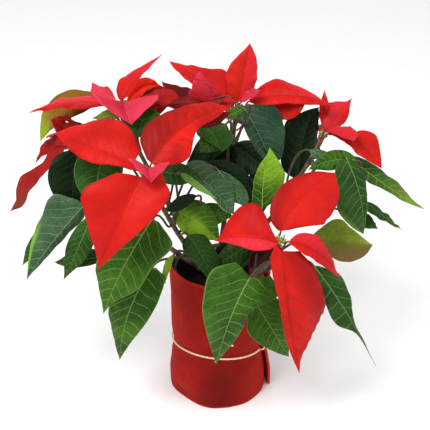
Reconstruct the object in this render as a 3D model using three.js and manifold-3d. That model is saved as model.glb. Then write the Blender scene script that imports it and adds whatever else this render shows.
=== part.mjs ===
// A poinsettia in its pot. Millimetres, +Z up, +X to the right, -Y to the front.
// The origin is the middle of the pot's base, on the surface that the pot stands on.
//
// A pinched main stem stands in potting soil and carries six side shoots. Each shoot ends in a
// cluster of small flower cups with red bracts round it, and carries green leaves on long stalks.
// A felt sheet is wound round the black grower pot and tied with a thin cord.

import * as THREE from 'three';
import { mergeVertices } from 'three/addons/utils/BufferGeometryUtils.js';
import Module from 'manifold-3d';

const wasm = await Module();
wasm.setup();

// ---- Driving dimensions ----

const GAP = 0.35; // left between two pieces that touch

const FELT_THICK = 3;
const FELT_OVERLAP = 43; // degrees that the outer end of the sheet laps over the inner end
const FELT_END = -8; // where the outer end stops, in degrees from +X
const FELT_RISE = 34; // degrees over which the sheet climbs on to its own inner end
const FELT_FLAP = { turn: 16, out: 5 }; // the last degrees of the outer end, which stand off
// Outer radius of the wrap at each height, drawn in by the tie.
const FELT_PROFILE = [[0, 57], [20, 56.6], [42, 54.2], [52, 52.8], [60, 51.6], [86, 53.2], [165, 54.6]];
const FELT_HEIGHT = 161;
const FELT_TILT = 4; // the top edge is this much higher on the left, and lower on the right
// Where the sheet has sagged: its top edge dips at the back left, and its foot is flattened at the
// front left. Each is at an angle in degrees from +X, over so many degrees.
const FELT_DIP = { angle: 128, spread: 34, depth: 11 };
const FELT_DENT = { angle: 222, spread: 30, depth: 5.5, height: 30 };

const TIE_HEIGHT = 60;
const TIE_SLOPE = { left: 6, front: 8 }; // higher by this much at the left, lower at the front
const TIE_RADIUS = 1.1;
const TIE_REACH = 18; // how far above and below itself the tie holds the loose end down
const TIE_BRIDGE = [-12, -8, -4, 0, 4, 8, 12]; // degrees to either side that the taut cord bridges
const KNOT_ANGLE = -89; // degrees from +X
const KNOT_RADIUS = 2.4;
const CORD_END_OUT = 1.4; // how far the cord's ends stand off the felt, so that they clear the knot
// The way of each cord end from the knot: radians round the wrap, and millimetres up.
const CORD_ENDS = [
  [[0, 1], [0.05, 6], [0.1, 12]],
  [[0, -1], [-0.05, -4], [-0.08, -8]],
];

const POT_HEIGHT = 158;
const POT_BASE_RADIUS = 42;
const POT_TOP_RADIUS = 48;
const POT_WALL = 1.4;
const POT_FLOOR = 2;
const POT_CORNER = 2; // chamfer round the outside of the floor
const POT_LIP = { height: 8, out: 2.6, slope: 1 }; // its underside slopes out over the slope's height
const DRAIN_HOLES = 6;
const DRAIN_RADIUS = 4;
const DRAIN_RING = 28;

const SOIL_TOP = 124;
const SOIL_CROWN = 3; // the middle of the soil stands this much higher
const SOIL_SHOULDER = { out: 0.6, rise: 0.7 }; // shares of its radius and crown where the top rounds

const MAIN_STEM = { x: -2, y: 4, bottom: 96, top: 178, radius: 6, cutRadius: 5 };
const SHOOT_RADIUS = { foot: 3.4, top: 2.3 };
const STALK_RADIUS = { bract: 1.0, leaf: 1.3 };
const BLADE_THICK = { edge: 0.8, rib: 1.5 };
const STALK_BEND = { out: 0.3, along: 0.12, back: 0.32 }; // as shares of the stalk's reach

const FLOWER_CUP = { radius: 2.6, inRing: 5, ringRadius: 3.6, low: 3.2, high: 4.3 };
const FLOWER_SEAT = { foot: 1.8, top: 4, height: 4.2 };

// ---- Where everything grows ----

// A blade is placed by five points: where its stalk ends, the midrib where the blade is widest, the
// tip, and the two edges at the widest place. 'at' is the place of its stalk on the shoot, from 0 at
// the foot to 1 at the flowers. 'wide' is how far along the blade it is widest, and 'taper' is how
// sharply it narrows to the tip.
function place(kind, name, at, start, middle, tip, left, right, wide, taper) {
  return { kind, name, at, start, middle, tip, left, right, wide, taper };
}
const bract = (...values) => place('bract', ...values);
const leaf = (...values) => place('leaf', ...values);

const SHOOTS = [
  {
    name: 'near_left',
    path: [[-8, 0, 150], [-45, -20, 205], [-72, -78, 312]],
    blades: [
      bract('outer', 0.94, [-84, -77, 322], [-113, -66, 331], [-168, -30, 336],
        [-110, -88, 316], [-109, -36, 345], 0.4, 1.2),
      bract('inner', 0.96, [-66, -76, 323], [-42, -52, 345], [12, 0, 353],
        [-62, -28, 362], [-25, -68, 329], 0.4, 1.2),
      bract('large', 0.86, [-75, -94, 316], [-89, -114, 294], [-119, -126, 229],
        [-46, -110, 304], [-129, -122, 292], 0.33, 1),
      bract('small', 0.91, [-67, -91, 324], [-66, -99, 323], [-64, -114, 320],
        [-47, -103, 336], [-86, -103, 340], 0.42, 1.2),
      leaf('upper', 0.6, [-66, -78, 261], [-90, -94, 226], [-120, -98, 158],
        [-67, -106, 218], [-117, -82, 231], 0.37, 1.05),
      leaf('lower', 0.3, [-70, -62, 193], [-91, -74, 156], [-109, -66, 76],
        [-66, -78, 160], [-120, -66, 150], 0.37, 0.95),
      leaf('centre', 0.7, [-33, -20, 293], [-13, -30, 280], [18, -44, 248],
        [-7, -16, 293], [-21, -40, 274], 0.37, 0.9),
      leaf('middle', 0.5, [-30, -58, 230], [-19, -68, 217], [-6, -80, 186],
        [2, -60, 221], [-44, -72, 215], 0.37, 1.05),
    ],
  },
  {
    name: 'rear_left',
    path: [[-6, 8, 160], [-60, 40, 215], [-106, 52, 320]],
    blades: [
      bract('long', 0.97, [-121, 46, 337], [-156, 38, 343], [-202, 16, 340],
        [-164, 20, 343], [-165, 60, 341], 0.4, 1.4),
      bract('up', 0.95, [-106, 62, 336], [-95, 74, 350], [-62, 98, 377],
        [-110, 84, 348], [-80, 69, 355], 0.42, 1.3),
      bract('short', 0.92, [-99, 54, 338], [-82, 56, 353], [-60, 62, 352],
        [-81, 58, 366], [-85, 50, 343], 0.42, 1),
      bract('low', 0.88, [-94, 42, 336], [-68, 38, 346], [-41, 42, 348],
        [-69, 46, 356], [-64, 26, 337], 0.45, 1),
      bract('folded', 0.99, [-102, 43, 339], [-98, 26, 337], [-91, 0, 333],
        [-66, 22, 354], [-131, 22, 357], 0.42, 1.2),
      leaf('olive', 0.85, [-132, 78, 329], [-171, 70, 328], [-197, 44, 294],
        [-171, 56, 314], [-173, 88, 336], 0.4, 1),
    ],
  },
  {
    name: 'far_left',
    path: [[-7, 5, 145], [-100, 20, 200], [-165, 42, 286]],
    blades: [
      bract('drooping', 0.91, [-170, 36, 292], [-209, 16, 258], [-229, 0, 229],
        [-199, 2, 255], [-223, 30, 258], 0.58, 0.85),
      bract('narrow', 0.93, [-168, 52, 295], [-186, 52, 287], [-206, 48, 264],
        [-183, 46, 284], [-191, 62, 290], 0.4, 1.2),
      leaf('long', 0.7, [-144, -20, 247], [-170, -28, 219], [-209, -44, 167],
        [-159, -10, 195], [-190, -20, 231], 0.35, 1.15),
      leaf('dark', 0.85, [-151, 14, 295], [-157, 4, 268], [-156, -8, 222],
        [-132, 12, 264], [-184, 0, 276], 0.37, 0.95),
    ],
  },
  {
    name: 'rear',
    path: [[2, 10, 165], [12, 50, 215], [21, 76, 316]],
    blades: [
      bract('upright', 0.92, [24, 85, 325], [29, 92, 350], [37, 104, 388],
        [11, 82, 359], [47, 102, 349], 0.4, 1.3),
      bract('wide', 0.96, [10, 88, 329], [-15, 100, 345], [-55, 120, 361],
        [-23, 88, 340], [-9, 114, 354], 0.33, 1.3),
      bract('small', 0.99, [6, 68, 328], [-8, 58, 350], [-19, 58, 372],
        [-24, 54, 355], [6, 62, 345], 0.38, 1.1),
      bract('dark', 0.93, [6, 80, 322], [-30, 76, 338], [-62, 82, 351],
        [-34, 64, 328], [-34, 88, 344], 0.45, 1.2),
      bract('long', 0.97, [37, 78, 329], [68, 70, 339], [131, 52, 332],
        [64, 88, 349], [68, 56, 329], 0.33, 1.5),
      bract('under', 0.9, [46, 80, 323], [74, 68, 321], [97, 56, 333],
        [76, 78, 329], [75, 58, 311], 0.5, 0.9),
      leaf('front', 0.93, [29, 62, 329], [45, 42, 307], [60, 22, 272],
        [70, 50, 310], [23, 34, 311], 0.37, 1),
      leaf('back', 0.75, [32, 112, 285], [46, 150, 274], [60, 200, 225],
        [20, 156, 280], [72, 146, 268], 0.37, 1),
      leaf('side', 0.6, [52, 88, 262], [75, 118, 256], [85, 165, 215],
        [50, 122, 262], [100, 112, 250], 0.37, 1),
    ],
  },
  {
    name: 'right',
    path: [[6, 6, 155], [70, 25, 200], [117, 46, 298]],
    blades: [
      bract('upper', 0.91, [123, 56, 304], [137, 66, 318], [153, 86, 329],
        [125, 76, 324], [150, 58, 312], 0.5, 0.9),
      bract('small', 0.99, [120, 36, 310], [135, 20, 316], [151, 2, 319],
        [141, 30, 319], [135, 10, 312], 0.45, 1),
      bract('long', 0.95, [124, 38, 306], [158, 14, 302], [178, -6, 284],
        [168, 28, 310], [147, 2, 296], 0.58, 0.85),
      leaf('hanging', 0.75, [138, -10, 299], [151, -22, 269], [161, -20, 211],
        [172, -15, 266], [133, -30, 268], 0.37, 1),
      leaf('long', 0.85, [143, 10, 291], [168, 2, 273], [226, -16, 240],
        [180, 20, 275], [157, -9, 265], 0.32, 1.35),
      leaf('short', 0.65, [164, 0, 241], [183, -6, 227], [204, -12, 213],
        [191, 4, 227], [175, -16, 226], 0.37, 1.3),
      leaf('dark', 0.5, [93, 60, 241], [97, 66, 283], [114, 66, 326],
        [75, 60, 286], [117, 74, 287], 0.4, 1),
      leaf('lime', 0.4, [49, -20, 243], [50, -14, 273], [57, 0, 306],
        [32, -20, 273], [69, -8, 272], 0.42, 1),
    ],
  },
  {
    name: 'near_right',
    path: [[4, -3, 140], [48, -90, 188], [63, -104, 247]],
    blades: [
      bract('folded', 0.92, [61, -112, 251], [33, -104, 254], [-1, -90, 241],
        [33, -116, 244], [36, -84, 277], 0.42, 1.2),
      bract('upper', 0.88, [65, -97, 257], [81, -80, 279], [123, -46, 298],
        [55, -72, 297], [110, -80, 266], 0.45, 0.8),
      bract('side', 0.95, [73, -112, 253], [98, -110, 242], [129, -98, 201],
        [106, -96, 250], [91, -122, 241], 0.42, 1.2),
      bract('hanging', 0.92, [66, -117, 245], [71, -124, 199], [89, -108, 88],
        [97, -116, 192], [48, -130, 206], 0.33, 1.1),
      leaf('large', 0.8, [34, -104, 206], [23, -114, 188], [-1, -98, 93],
        [60, -102, 185], [-15, -118, 199], 0.28, 1.35),
      leaf('under', 0.55, [42, -72, 154], [56, -84, 135], [79, -80, 90],
        [76, -76, 136], [36, -90, 129], 0.37, 1),
      leaf('drooping', 0.7, [103, -70, 200], [125, -78, 171], [180, -60, 62],
        [146, -68, 167], [108, -84, 167], 0.32, 2),
      leaf('brown', 0.85, [100, -60, 227], [133, -50, 218], [168, -44, 211],
        [132, -35, 235], [134, -68, 204], 0.4, 0.85),
    ],
  },
];

// ---- Materials ----

function finish(colour, roughness) {
  return () => new THREE.MeshStandardMaterial({ color: colour, roughness, metalness: 0 });
}
const felt = finish(0xa3221a, 0.95);
const cord = finish(0xf0cda0, 0.9);
const blackPlastic = finish(0x0c0c0c, 0.5);
const compost = finish(0x1c1510, 1);
const bark = finish(0x6b5134, 0.85);
const greenStem = finish(0x7a8a3c, 0.7);
const yellowGreen = finish(0xb9b046, 0.7);
const redBract = finish(0xd82c22, 0.6);
const greenLeaf = finish(0x2f5a24, 0.55);

// ---- Solids ----

const vec = (point) => new THREE.Vector3(...point);
const radians = THREE.MathUtils.degToRad;

function solid(geometry) {
  const bare = geometry.clone();
  bare.deleteAttribute('normal');
  bare.deleteAttribute('uv');
  const merged = mergeVertices(bare, 1e-4);
  const triVerts = new Uint32Array(merged.index.array);
  const vertProperties = merged.attributes.position.array;
  return new wasm.Manifold(new wasm.Mesh({ numProp: 3, vertProperties, triVerts }));
}

function geometryOf(made) {
  const { vertProperties, triVerts } = made.getMesh();
  const geometry = new THREE.BufferGeometry();
  geometry.setAttribute('position', new THREE.BufferAttribute(vertProperties, 3));
  geometry.setIndex(new THREE.BufferAttribute(triVerts, 1));
  geometry.computeVertexNormals();
  return geometry;
}

// Skins rings of points into one closed body. Each ring has the same number of points, in the order
// that turns left round the direction of travel. A closed loop joins the last ring to the first.
// The second half of a ring creases along the other diagonal, so that the two faces of a thin sheet
// bend alike and don't cross. Each end is closed from one half of the ring to the other, like the
// rungs of a ladder.
function skin(rings, isLoop = false) {
  const around = rings[0].length;
  const points = rings.flat();
  const faces = [];
  const steps = isLoop ? rings.length : rings.length - 1;
  for (let i = 0; i < steps; i += 1) {
    const here = i * around;
    const next = ((i + 1) % rings.length) * around;
    for (let k = 0; k < around; k += 1) {
      const l = (k + 1) % around;
      if (k < around / 2) faces.push(here + k, here + l, next + l, here + k, next + l, next + k);
      else faces.push(here + k, here + l, next + k, here + l, next + l, next + k);
    }
  }
  const last = points.length - around;
  for (let k = 0; k < around / 2 - 1 && !isLoop; k += 1) {
    const [a, b, c, d] = [k, k + 1, around - 2 - k, around - 1 - k];
    faces.push(a, c, b, a, d, c);
    faces.push(last + a, last + b, last + c, last + a, last + c, last + d);
  }
  const geometry = new THREE.BufferGeometry().setFromPoints(points);
  geometry.setIndex(faces);
  geometry.computeVertexNormals();
  return geometry;
}

function mesh(name, geometry, material, position = new THREE.Vector3()) {
  geometry.translate(-position.x, -position.y, -position.z);
  const made = new THREE.Mesh(geometry, material());
  made.name = name;
  made.position.copy(position);
  return made;
}

// ---- Felt wrap ----

const smooth = (from, to, value) => THREE.MathUtils.smoothstep(value, from, to);

function profileRadius(height) {
  const above = FELT_PROFILE.findIndex(([z]) => z >= height);
  if (above < 1) return FELT_PROFILE[above < 0 ? FELT_PROFILE.length - 1 : 0][1];
  const [z0, r0] = FELT_PROFILE[above - 1];
  const [z1, r1] = FELT_PROFILE[above];
  return THREE.MathUtils.lerp(r0, r1, (height - z0) / (z1 - z0));
}

const FELT_TURN = 360 + FELT_OVERLAP; // degrees from the inner end of the sheet to its outer end

const feltAngle = (turn) => FELT_END + FELT_TURN - turn; // degrees from +X

// How much of a sag is felt at an angle, from 0 to its whole depth in its middle.
function sag({ angle, spread, depth }, turn) {
  const away = THREE.MathUtils.euclideanModulo(feltAngle(turn), 360) - angle;
  return depth * Math.exp(-((away / spread) ** 2));
}

// Outer radius of the felt at so many degrees from its inner end. The loose end flares below and
// above the tie, which holds it down.
function feltRadius(turn, height) {
  const climb = smooth(360 - FELT_RISE, 360, turn) * (FELT_THICK + GAP);
  const held = Math.exp(-(((height - TIE_HEIGHT) / TIE_REACH) ** 2));
  const flare = smooth(FELT_TURN - FELT_FLAP.turn, FELT_TURN, turn) * FELT_FLAP.out * (1 - held);
  const dent = sag(FELT_DENT, turn) * (1 - smooth(0, FELT_DENT.height, height));
  return profileRadius(height) + climb + flare - dent;
}

function feltPoint(turn, height, inset) {
  const angle = radians(feltAngle(turn));
  const radius = feltRadius(turn, height) - inset;
  return new THREE.Vector3(radius * Math.cos(angle), radius * Math.sin(angle), height);
}

function feltTop(turn) {
  return FELT_HEIGHT - FELT_TILT * Math.cos(radians(feltAngle(turn))) - sag(FELT_DIP, turn);
}

function feltWrap() {
  const steps = 44;
  const rings = [];
  for (let i = 0; i <= steps; i += 1) {
    const turn = (FELT_TURN * i) / steps;
    const heights = FELT_PROFILE.map(([z]) => Math.min(z, feltTop(turn)));
    const outside = heights.map((z) => feltPoint(turn, z, 0));
    const inside = heights.map((z) => feltPoint(turn, z, FELT_THICK)).reverse();
    rings.push([...outside, ...inside]);
  }
  return mesh('felt_wrap', skin(rings), felt);
}

// ---- Tie ----

function tieHeight(angle) {
  return TIE_HEIGHT - TIE_SLOPE.left * Math.cos(angle) - TIE_SLOPE.front * Math.sin(angle);
}

// The furthest out that any layer of the felt comes near an angle, so that the cord bridges the step
// at the end of the sheet.
function tieRadius(angle, height) {
  const degrees = THREE.MathUtils.radToDeg(angle);
  const reach = TIE_BRIDGE.map((shift) => {
    const turn = THREE.MathUtils.euclideanModulo(FELT_END + FELT_TURN - degrees - shift, 360);
    return Math.max(feltRadius(turn, height), turn <= FELT_OVERLAP ? feltRadius(turn + 360, height) : 0);
  });
  return Math.max(...reach) + GAP + TIE_RADIUS;
}

function tiePoint(angle, lift = 0, out = 0) {
  const height = tieHeight(angle);
  const radius = tieRadius(angle, height) + out;
  return new THREE.Vector3(radius * Math.cos(angle), radius * Math.sin(angle), height + lift);
}

function tube(points, radius, sides) {
  const steps = points.length * 3;
  const section = new THREE.Shape().absarc(0, 0, radius, 0, Math.PI * 2);
  return new THREE.ExtrudeGeometry(section, {
    steps,
    curveSegments: sides,
    extrudePath: new THREE.CatmullRomCurve3(points),
  });
}

function wrapTie() {
  const steps = 54;
  const sides = 6;
  const rings = [];
  for (let i = 0; i < steps; i += 1) {
    const angle = (i / steps) * Math.PI * 2;
    const centre = tiePoint(angle);
    const outward = new THREE.Vector3(Math.cos(angle), Math.sin(angle), 0);
    const ring = [];
    for (let k = 0; k < sides; k += 1) {
      const turn = (k / sides) * Math.PI * 2;
      const point = centre.clone().addScaledVector(outward, TIE_RADIUS * Math.cos(turn));
      ring.push(point.setZ(point.z - TIE_RADIUS * Math.sin(turn)));
    }
    rings.push(ring);
  }
  const angle = radians(KNOT_ANGLE);
  const knotCentre = tiePoint(angle, 0, KNOT_RADIUS - TIE_RADIUS);
  const knot = new THREE.SphereGeometry(KNOT_RADIUS, 8, 5);
  knot.translate(...knotCentre.toArray());
  const ends = CORD_ENDS.map((route) => (
    tube(route.map(([turn, lift]) => tiePoint(angle + turn, lift, CORD_END_OUT)), TIE_RADIUS, sides)));
  let tie = solid(skin(rings, true));
  for (const piece of [knot, ...ends]) tie = tie.add(solid(piece));
  return mesh('wrap_tie', geometryOf(tie), cord);
}

// ---- Grower pot and soil ----

function turned(profile, segments = 36) {
  const points = profile.map(([radius, height]) => new THREE.Vector2(radius, height));
  const geometry = new THREE.LatheGeometry(points, segments);
  geometry.rotateX(Math.PI / 2);
  return geometry;
}

function potRadius(height) {
  return THREE.MathUtils.lerp(POT_BASE_RADIUS, POT_TOP_RADIUS, height / POT_HEIGHT);
}

function growerPot() {
  const lipFoot = POT_HEIGHT - POT_LIP.height;
  const wallFoot = POT_FLOOR + POT_CORNER;
  const profile = [
    [0, 0],
    [POT_BASE_RADIUS - POT_CORNER, 0],
    [POT_BASE_RADIUS, POT_CORNER],
    [potRadius(lipFoot), lipFoot],
    [potRadius(lipFoot) + POT_LIP.out, lipFoot + POT_LIP.slope],
    [POT_TOP_RADIUS + POT_LIP.out, POT_HEIGHT],
    [POT_TOP_RADIUS - POT_WALL, POT_HEIGHT],
    [potRadius(wallFoot) - POT_WALL, wallFoot],
    [potRadius(wallFoot) - POT_WALL - POT_CORNER, POT_FLOOR],
    [0, POT_FLOOR],
  ];
  let pot = solid(turned(profile));
  for (let i = 0; i < DRAIN_HOLES; i += 1) {
    const angle = (i / DRAIN_HOLES) * Math.PI * 2;
    const hole = new THREE.CylinderGeometry(DRAIN_RADIUS, DRAIN_RADIUS, 4 * POT_FLOOR, 12);
    hole.rotateX(Math.PI / 2);
    hole.translate(DRAIN_RING * Math.cos(angle), DRAIN_RING * Math.sin(angle), 0);
    pot = pot.subtract(solid(hole));
  }
  return mesh('grower_pot', geometryOf(pot), blackPlastic);
}

function mainStemAxis(height) {
  return new THREE.Vector3(MAIN_STEM.x, MAIN_STEM.y, height);
}

function stemCylinder(radiusTop, radiusFoot, bottom, top) {
  const cylinder = new THREE.CylinderGeometry(radiusTop, radiusFoot, top - bottom, 16);
  cylinder.rotateX(Math.PI / 2);
  const centre = mainStemAxis((top + bottom) / 2);
  cylinder.translate(centre.x, centre.y, centre.z);
  return cylinder;
}

function pottingSoil() {
  const foot = POT_FLOOR + GAP;
  const wallFoot = foot + POT_CORNER;
  const inside = (height) => potRadius(height) - POT_WALL - GAP;
  const profile = [
    [0, foot],
    [inside(wallFoot) - POT_CORNER, foot],
    [inside(wallFoot), wallFoot],
    [inside(SOIL_TOP), SOIL_TOP],
    [inside(SOIL_TOP) * SOIL_SHOULDER.out, SOIL_TOP + SOIL_CROWN * SOIL_SHOULDER.rise],
    [0, SOIL_TOP + SOIL_CROWN],
  ];
  const socketRadius = MAIN_STEM.radius + GAP;
  const socket = stemCylinder(socketRadius, socketRadius, MAIN_STEM.bottom - GAP, MAIN_STEM.top);
  return mesh('potting_soil', geometryOf(solid(turned(profile)).subtract(solid(socket))), compost);
}

function mainStem() {
  const { radius, cutRadius, bottom, top } = MAIN_STEM;
  return mesh('main_stem', stemCylinder(cutRadius, radius, bottom, top), bark);
}

// ---- Shoots, stalks and blades ----

// A frame carried along a curve: the start frame is turned by the least turn that follows it.
function carried(direction, fromTangent, toTangent) {
  const turn = new THREE.Quaternion().setFromUnitVectors(fromTangent, toTangent);
  return direction.clone().applyQuaternion(turn);
}

function roundRing(centre, side, up, radius, corners) {
  const ring = [];
  for (let k = 0; k < corners; k += 1) {
    const turn = ((k + 0.5) / corners) * Math.PI * 2;
    ring.push(centre.clone()
      .addScaledVector(side, radius * Math.cos(turn))
      .addScaledVector(up, radius * Math.sin(turn)));
  }
  return ring;
}

const shootRadius = (at) => THREE.MathUtils.lerp(SHOOT_RADIUS.foot, SHOOT_RADIUS.top, at);

// The foot stands off the tapering main stem's side by the gap between touching pieces, and by as
// much of its own radius as its slope turns towards the stem.
function shootCurve(shoot) {
  const [foot, bend, top] = shoot.path.map(vec);
  const axis = mainStemAxis(foot.z);
  const outward = foot.clone().sub(axis).setZ(0).normalize();
  const slope = bend.clone().sub(foot).normalize().z;
  const { radius, cutRadius, bottom, top: cut } = MAIN_STEM;
  const side = THREE.MathUtils.mapLinear(foot.z, bottom, cut, radius, cutRadius);
  const start = axis.addScaledVector(outward, side + GAP + SHOOT_RADIUS.foot * slope);
  return new THREE.QuadraticBezierCurve3(start, bend, top);
}

function shootMesh(shoot, curve) {
  const steps = 12;
  const corners = 8;
  const startTangent = curve.getTangent(0);
  const startSide = new THREE.Vector3(0, 0, 1).cross(startTangent).normalize();
  const rings = [];
  for (let i = 0; i <= steps; i += 1) {
    const at = i / steps;
    const tangent = curve.getTangent(at);
    const side = carried(startSide, startTangent, tangent);
    const up = tangent.clone().cross(side);
    rings.push(roundRing(curve.getPoint(at), side, up, shootRadius(at), corners));
  }
  return mesh(`shoot_${shoot.name}`, skin(rings), greenStem, curve.getPoint(0));
}

// The midrib runs through the blade's start, its widest place and its tip on one parabola.
function midrib(blade) {
  const [start, middle, tip] = [blade.start, blade.middle, blade.tip].map(vec);
  const w = blade.wide;
  return (t) => start.clone().multiplyScalar(((t - w) * (t - 1)) / w)
    .addScaledVector(middle, (t * (t - 1)) / (w * (w - 1)))
    .addScaledVector(tip, (t * (t - w)) / (1 - w));
}

function tangentOf(pointAt, t) {
  const step = 1e-3;
  return pointAt(t + step).sub(pointAt(t - step)).normalize();
}

// How wide the blade is at t, as a share of its widest.
function outline(blade, t) {
  const round = (blade.taper * blade.wide) / (1 - blade.wide);
  const shape = (x) => x ** round * (1 - x) ** blade.taper;
  return shape(t) / shape(blade.wide);
}

// The stalk leaves the side of the shoot that faces the blade, and ends along the midrib.
function stalkCurve(blade, curve) {
  const start = vec(blade.start);
  const foot = curve.getPoint(blade.at);
  const along = curve.getTangent(blade.at);
  const outward = start.clone().sub(foot);
  outward.addScaledVector(along, -outward.dot(along)).normalize();
  foot.addScaledVector(outward, shootRadius(blade.at) + GAP);
  const reach = foot.distanceTo(start);
  const bladeDirection = tangentOf(midrib(blade), 0);
  const leaving = foot.clone()
    .addScaledVector(outward, STALK_BEND.out * reach)
    .addScaledVector(along, STALK_BEND.along * reach);
  const arriving = start.clone().addScaledVector(bladeDirection, -STALK_BEND.back * reach);
  return new THREE.CubicBezierCurve3(foot, leaving, arriving, start);
}

// Six points across: one edge, the midrib and the other edge, on the upper side and back below.
function acrossRing(left, rib, right, up, edge, thick) {
  return [
    [left, edge], [rib, thick], [right, edge],
    [right, -edge], [rib, -thick], [left, -edge],
  ].map(([point, offset]) => point.clone().addScaledVector(up, offset / 2));
}

const BLADE_STATIONS = [0.05, 0.14, 0.26, 0.4, 0.55, 0.7, 0.84, 0.95, 1];
const TIP_WIDTH = 0.03; // the tip keeps this share of the blade's width, so that it isn't a bare point

function bladeMesh(shoot, curve, blade) {
  const radius = STALK_RADIUS[blade.kind];
  const rib = midrib(blade);
  const middle = vec(blade.middle);
  const middleTangent = tangentOf(rib, blade.wide);
  const halves = { left: vec(blade.left).sub(middle), right: vec(blade.right).sub(middle) };
  const across = halves.left.clone().sub(halves.right).normalize();
  const upAtMiddle = middleTangent.clone().cross(across).normalize();
  const rings = [];

  const stalk = stalkCurve(blade, curve);
  const stalkSteps = 4;
  const cornerReach = radius * Math.cos(Math.PI / 6); // makes the six corners a regular hexagon
  const acrossAtStart = carried(across, middleTangent, tangentOf(rib, 0));
  for (let i = 0; i <= stalkSteps; i += 1) {
    const tangent = stalk.getTangent(i / stalkSteps);
    const side = carried(acrossAtStart, tangentOf(rib, 0), tangent);
    side.addScaledVector(tangent, -side.dot(tangent)).normalize();
    const up = tangent.clone().cross(side);
    const centre = stalk.getPoint(i / stalkSteps);
    const left = centre.clone().addScaledVector(side, cornerReach);
    const right = centre.clone().addScaledVector(side, -cornerReach);
    rings.push(acrossRing(left, centre, right, up, radius, radius * 2));
  }
  for (const t of BLADE_STATIONS) {
    const tangent = tangentOf(rib, t);
    const up = carried(upAtMiddle, middleTangent, tangent);
    const centre = rib(t);
    const width = Math.max(outline(blade, t), TIP_WIDTH);
    const [left, right] = [halves.left, halves.right].map((half) => (
      centre.clone().addScaledVector(carried(half, middleTangent, tangent), width)));
    const thick = THREE.MathUtils.lerp(BLADE_THICK.rib, BLADE_THICK.edge, t);
    rings.push(acrossRing(left, centre, right, up, BLADE_THICK.edge, thick));
  }
  const colour = blade.kind === 'leaf' ? greenLeaf : redBract;
  const name = `${blade.kind}_${shoot.name}_${blade.name}`;
  return mesh(name, skin(rings), colour, stalk.getPoint(0));
}

// ---- Flowers ----

// A cluster of small round cups, one in the middle and the rest in a ring, on the shoot's end.
function flowerMesh(shoot, curve) {
  const { radius, inRing, ringRadius, low, high } = FLOWER_CUP;
  const cups = [new THREE.Vector3(0, 0, high)];
  for (let i = 0; i < inRing; i += 1) {
    const angle = (i / inRing) * Math.PI * 2;
    const height = i % 2 ? high : low;
    cups.push(new THREE.Vector3(ringRadius * Math.cos(angle), ringRadius * Math.sin(angle), height));
  }
  const seat = new THREE.CylinderGeometry(FLOWER_SEAT.top, FLOWER_SEAT.foot, FLOWER_SEAT.height, 8);
  seat.rotateX(Math.PI / 2);
  seat.translate(0, 0, FLOWER_SEAT.height / 2);
  let cluster = solid(seat);
  for (const centre of cups) {
    const cup = new THREE.SphereGeometry(radius, 6, 4);
    cup.translate(...centre.toArray());
    cluster = cluster.add(solid(cup));
  }
  const geometry = geometryOf(cluster);
  const direction = curve.getTangent(1);
  const upright = new THREE.Vector3(0, 0, 1);
  geometry.applyQuaternion(new THREE.Quaternion().setFromUnitVectors(upright, direction));
  const made = new THREE.Mesh(geometry, yellowGreen());
  made.name = `flowers_${shoot.name}`;
  made.position.copy(curve.getPoint(1)).addScaledVector(direction, GAP);
  return made;
}

// ---- The whole plant in its pot ----

const holder = new THREE.Group();
holder.add(feltWrap(), wrapTie(), growerPot(), pottingSoil());

const plant = new THREE.Group();
plant.add(mainStem());
for (const shoot of SHOOTS) {
  const curve = shootCurve(shoot);
  plant.add(shootMesh(shoot, curve), flowerMesh(shoot, curve));
  for (const blade of shoot.blades) plant.add(bladeMesh(shoot, curve, blade));
}

const poinsettia = new THREE.Group();
poinsettia.add(holder, plant);

export default poinsettia;
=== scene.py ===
# %% [markdown]
# # A poinsettia in its pot
# A young poinsettia stands in a black grower pot. A thick red felt sheet is wound round the pot and a
# thin pale cord ties it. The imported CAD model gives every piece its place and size. This script
# builds the looks round it: soft veined leaves and bracts, hairy felt, twisted cord and crumbly soil.
# Every cell of code is one step, and the text above it says what the step is for.

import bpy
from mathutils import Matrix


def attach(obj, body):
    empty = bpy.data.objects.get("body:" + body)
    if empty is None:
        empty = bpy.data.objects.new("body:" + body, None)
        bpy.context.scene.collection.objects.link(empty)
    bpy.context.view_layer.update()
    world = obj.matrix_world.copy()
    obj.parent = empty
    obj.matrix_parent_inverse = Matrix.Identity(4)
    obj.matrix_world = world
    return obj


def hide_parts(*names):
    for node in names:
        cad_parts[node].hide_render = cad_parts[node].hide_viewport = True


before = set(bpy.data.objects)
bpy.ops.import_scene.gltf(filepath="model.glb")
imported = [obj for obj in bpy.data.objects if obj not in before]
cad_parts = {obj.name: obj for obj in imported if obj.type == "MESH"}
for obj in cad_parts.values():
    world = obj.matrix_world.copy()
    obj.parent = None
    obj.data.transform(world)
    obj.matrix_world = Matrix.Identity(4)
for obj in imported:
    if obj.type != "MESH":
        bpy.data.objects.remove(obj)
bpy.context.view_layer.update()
print("CAD nodes:", len(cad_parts))

# %% [markdown]
# ## Lengths
# Blender works in metres, and a plant is easier to describe in millimetres. One small function turns
# millimetres into a Blender vector, so that the lists below can be read with a ruler in hand. Another
# puts anything that has been made into the scene.

# %% Millimetres to metres
import math
import random
from dataclasses import dataclass

import bmesh
import bpy
from mathutils import Matrix, Vector, noise

MM = 0.001
GAP = 0.35 * MM  # between neighbours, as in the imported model
ABOUT_A_TURN = 6.28  # radians


def mm(point):
    """A point given in millimetres, as a vector in metres."""
    return Vector(point) * MM


def add_object(name, data):
    """A new object in the scene that shows this camera, light or mesh."""
    made = bpy.data.objects.new(name, data)
    bpy.context.collection.objects.link(made)
    return made


# %% [markdown]
# ## Camera
# The camera comes first, because everything is judged through it. It stands in front of the plant,
# a little over a metre away, and looks down at it. A long lens keeps the pot's sides nearly upright,
# as in a catalogue picture. A camera's tilt is counted from straight down, so level is 90 degrees.

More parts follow.
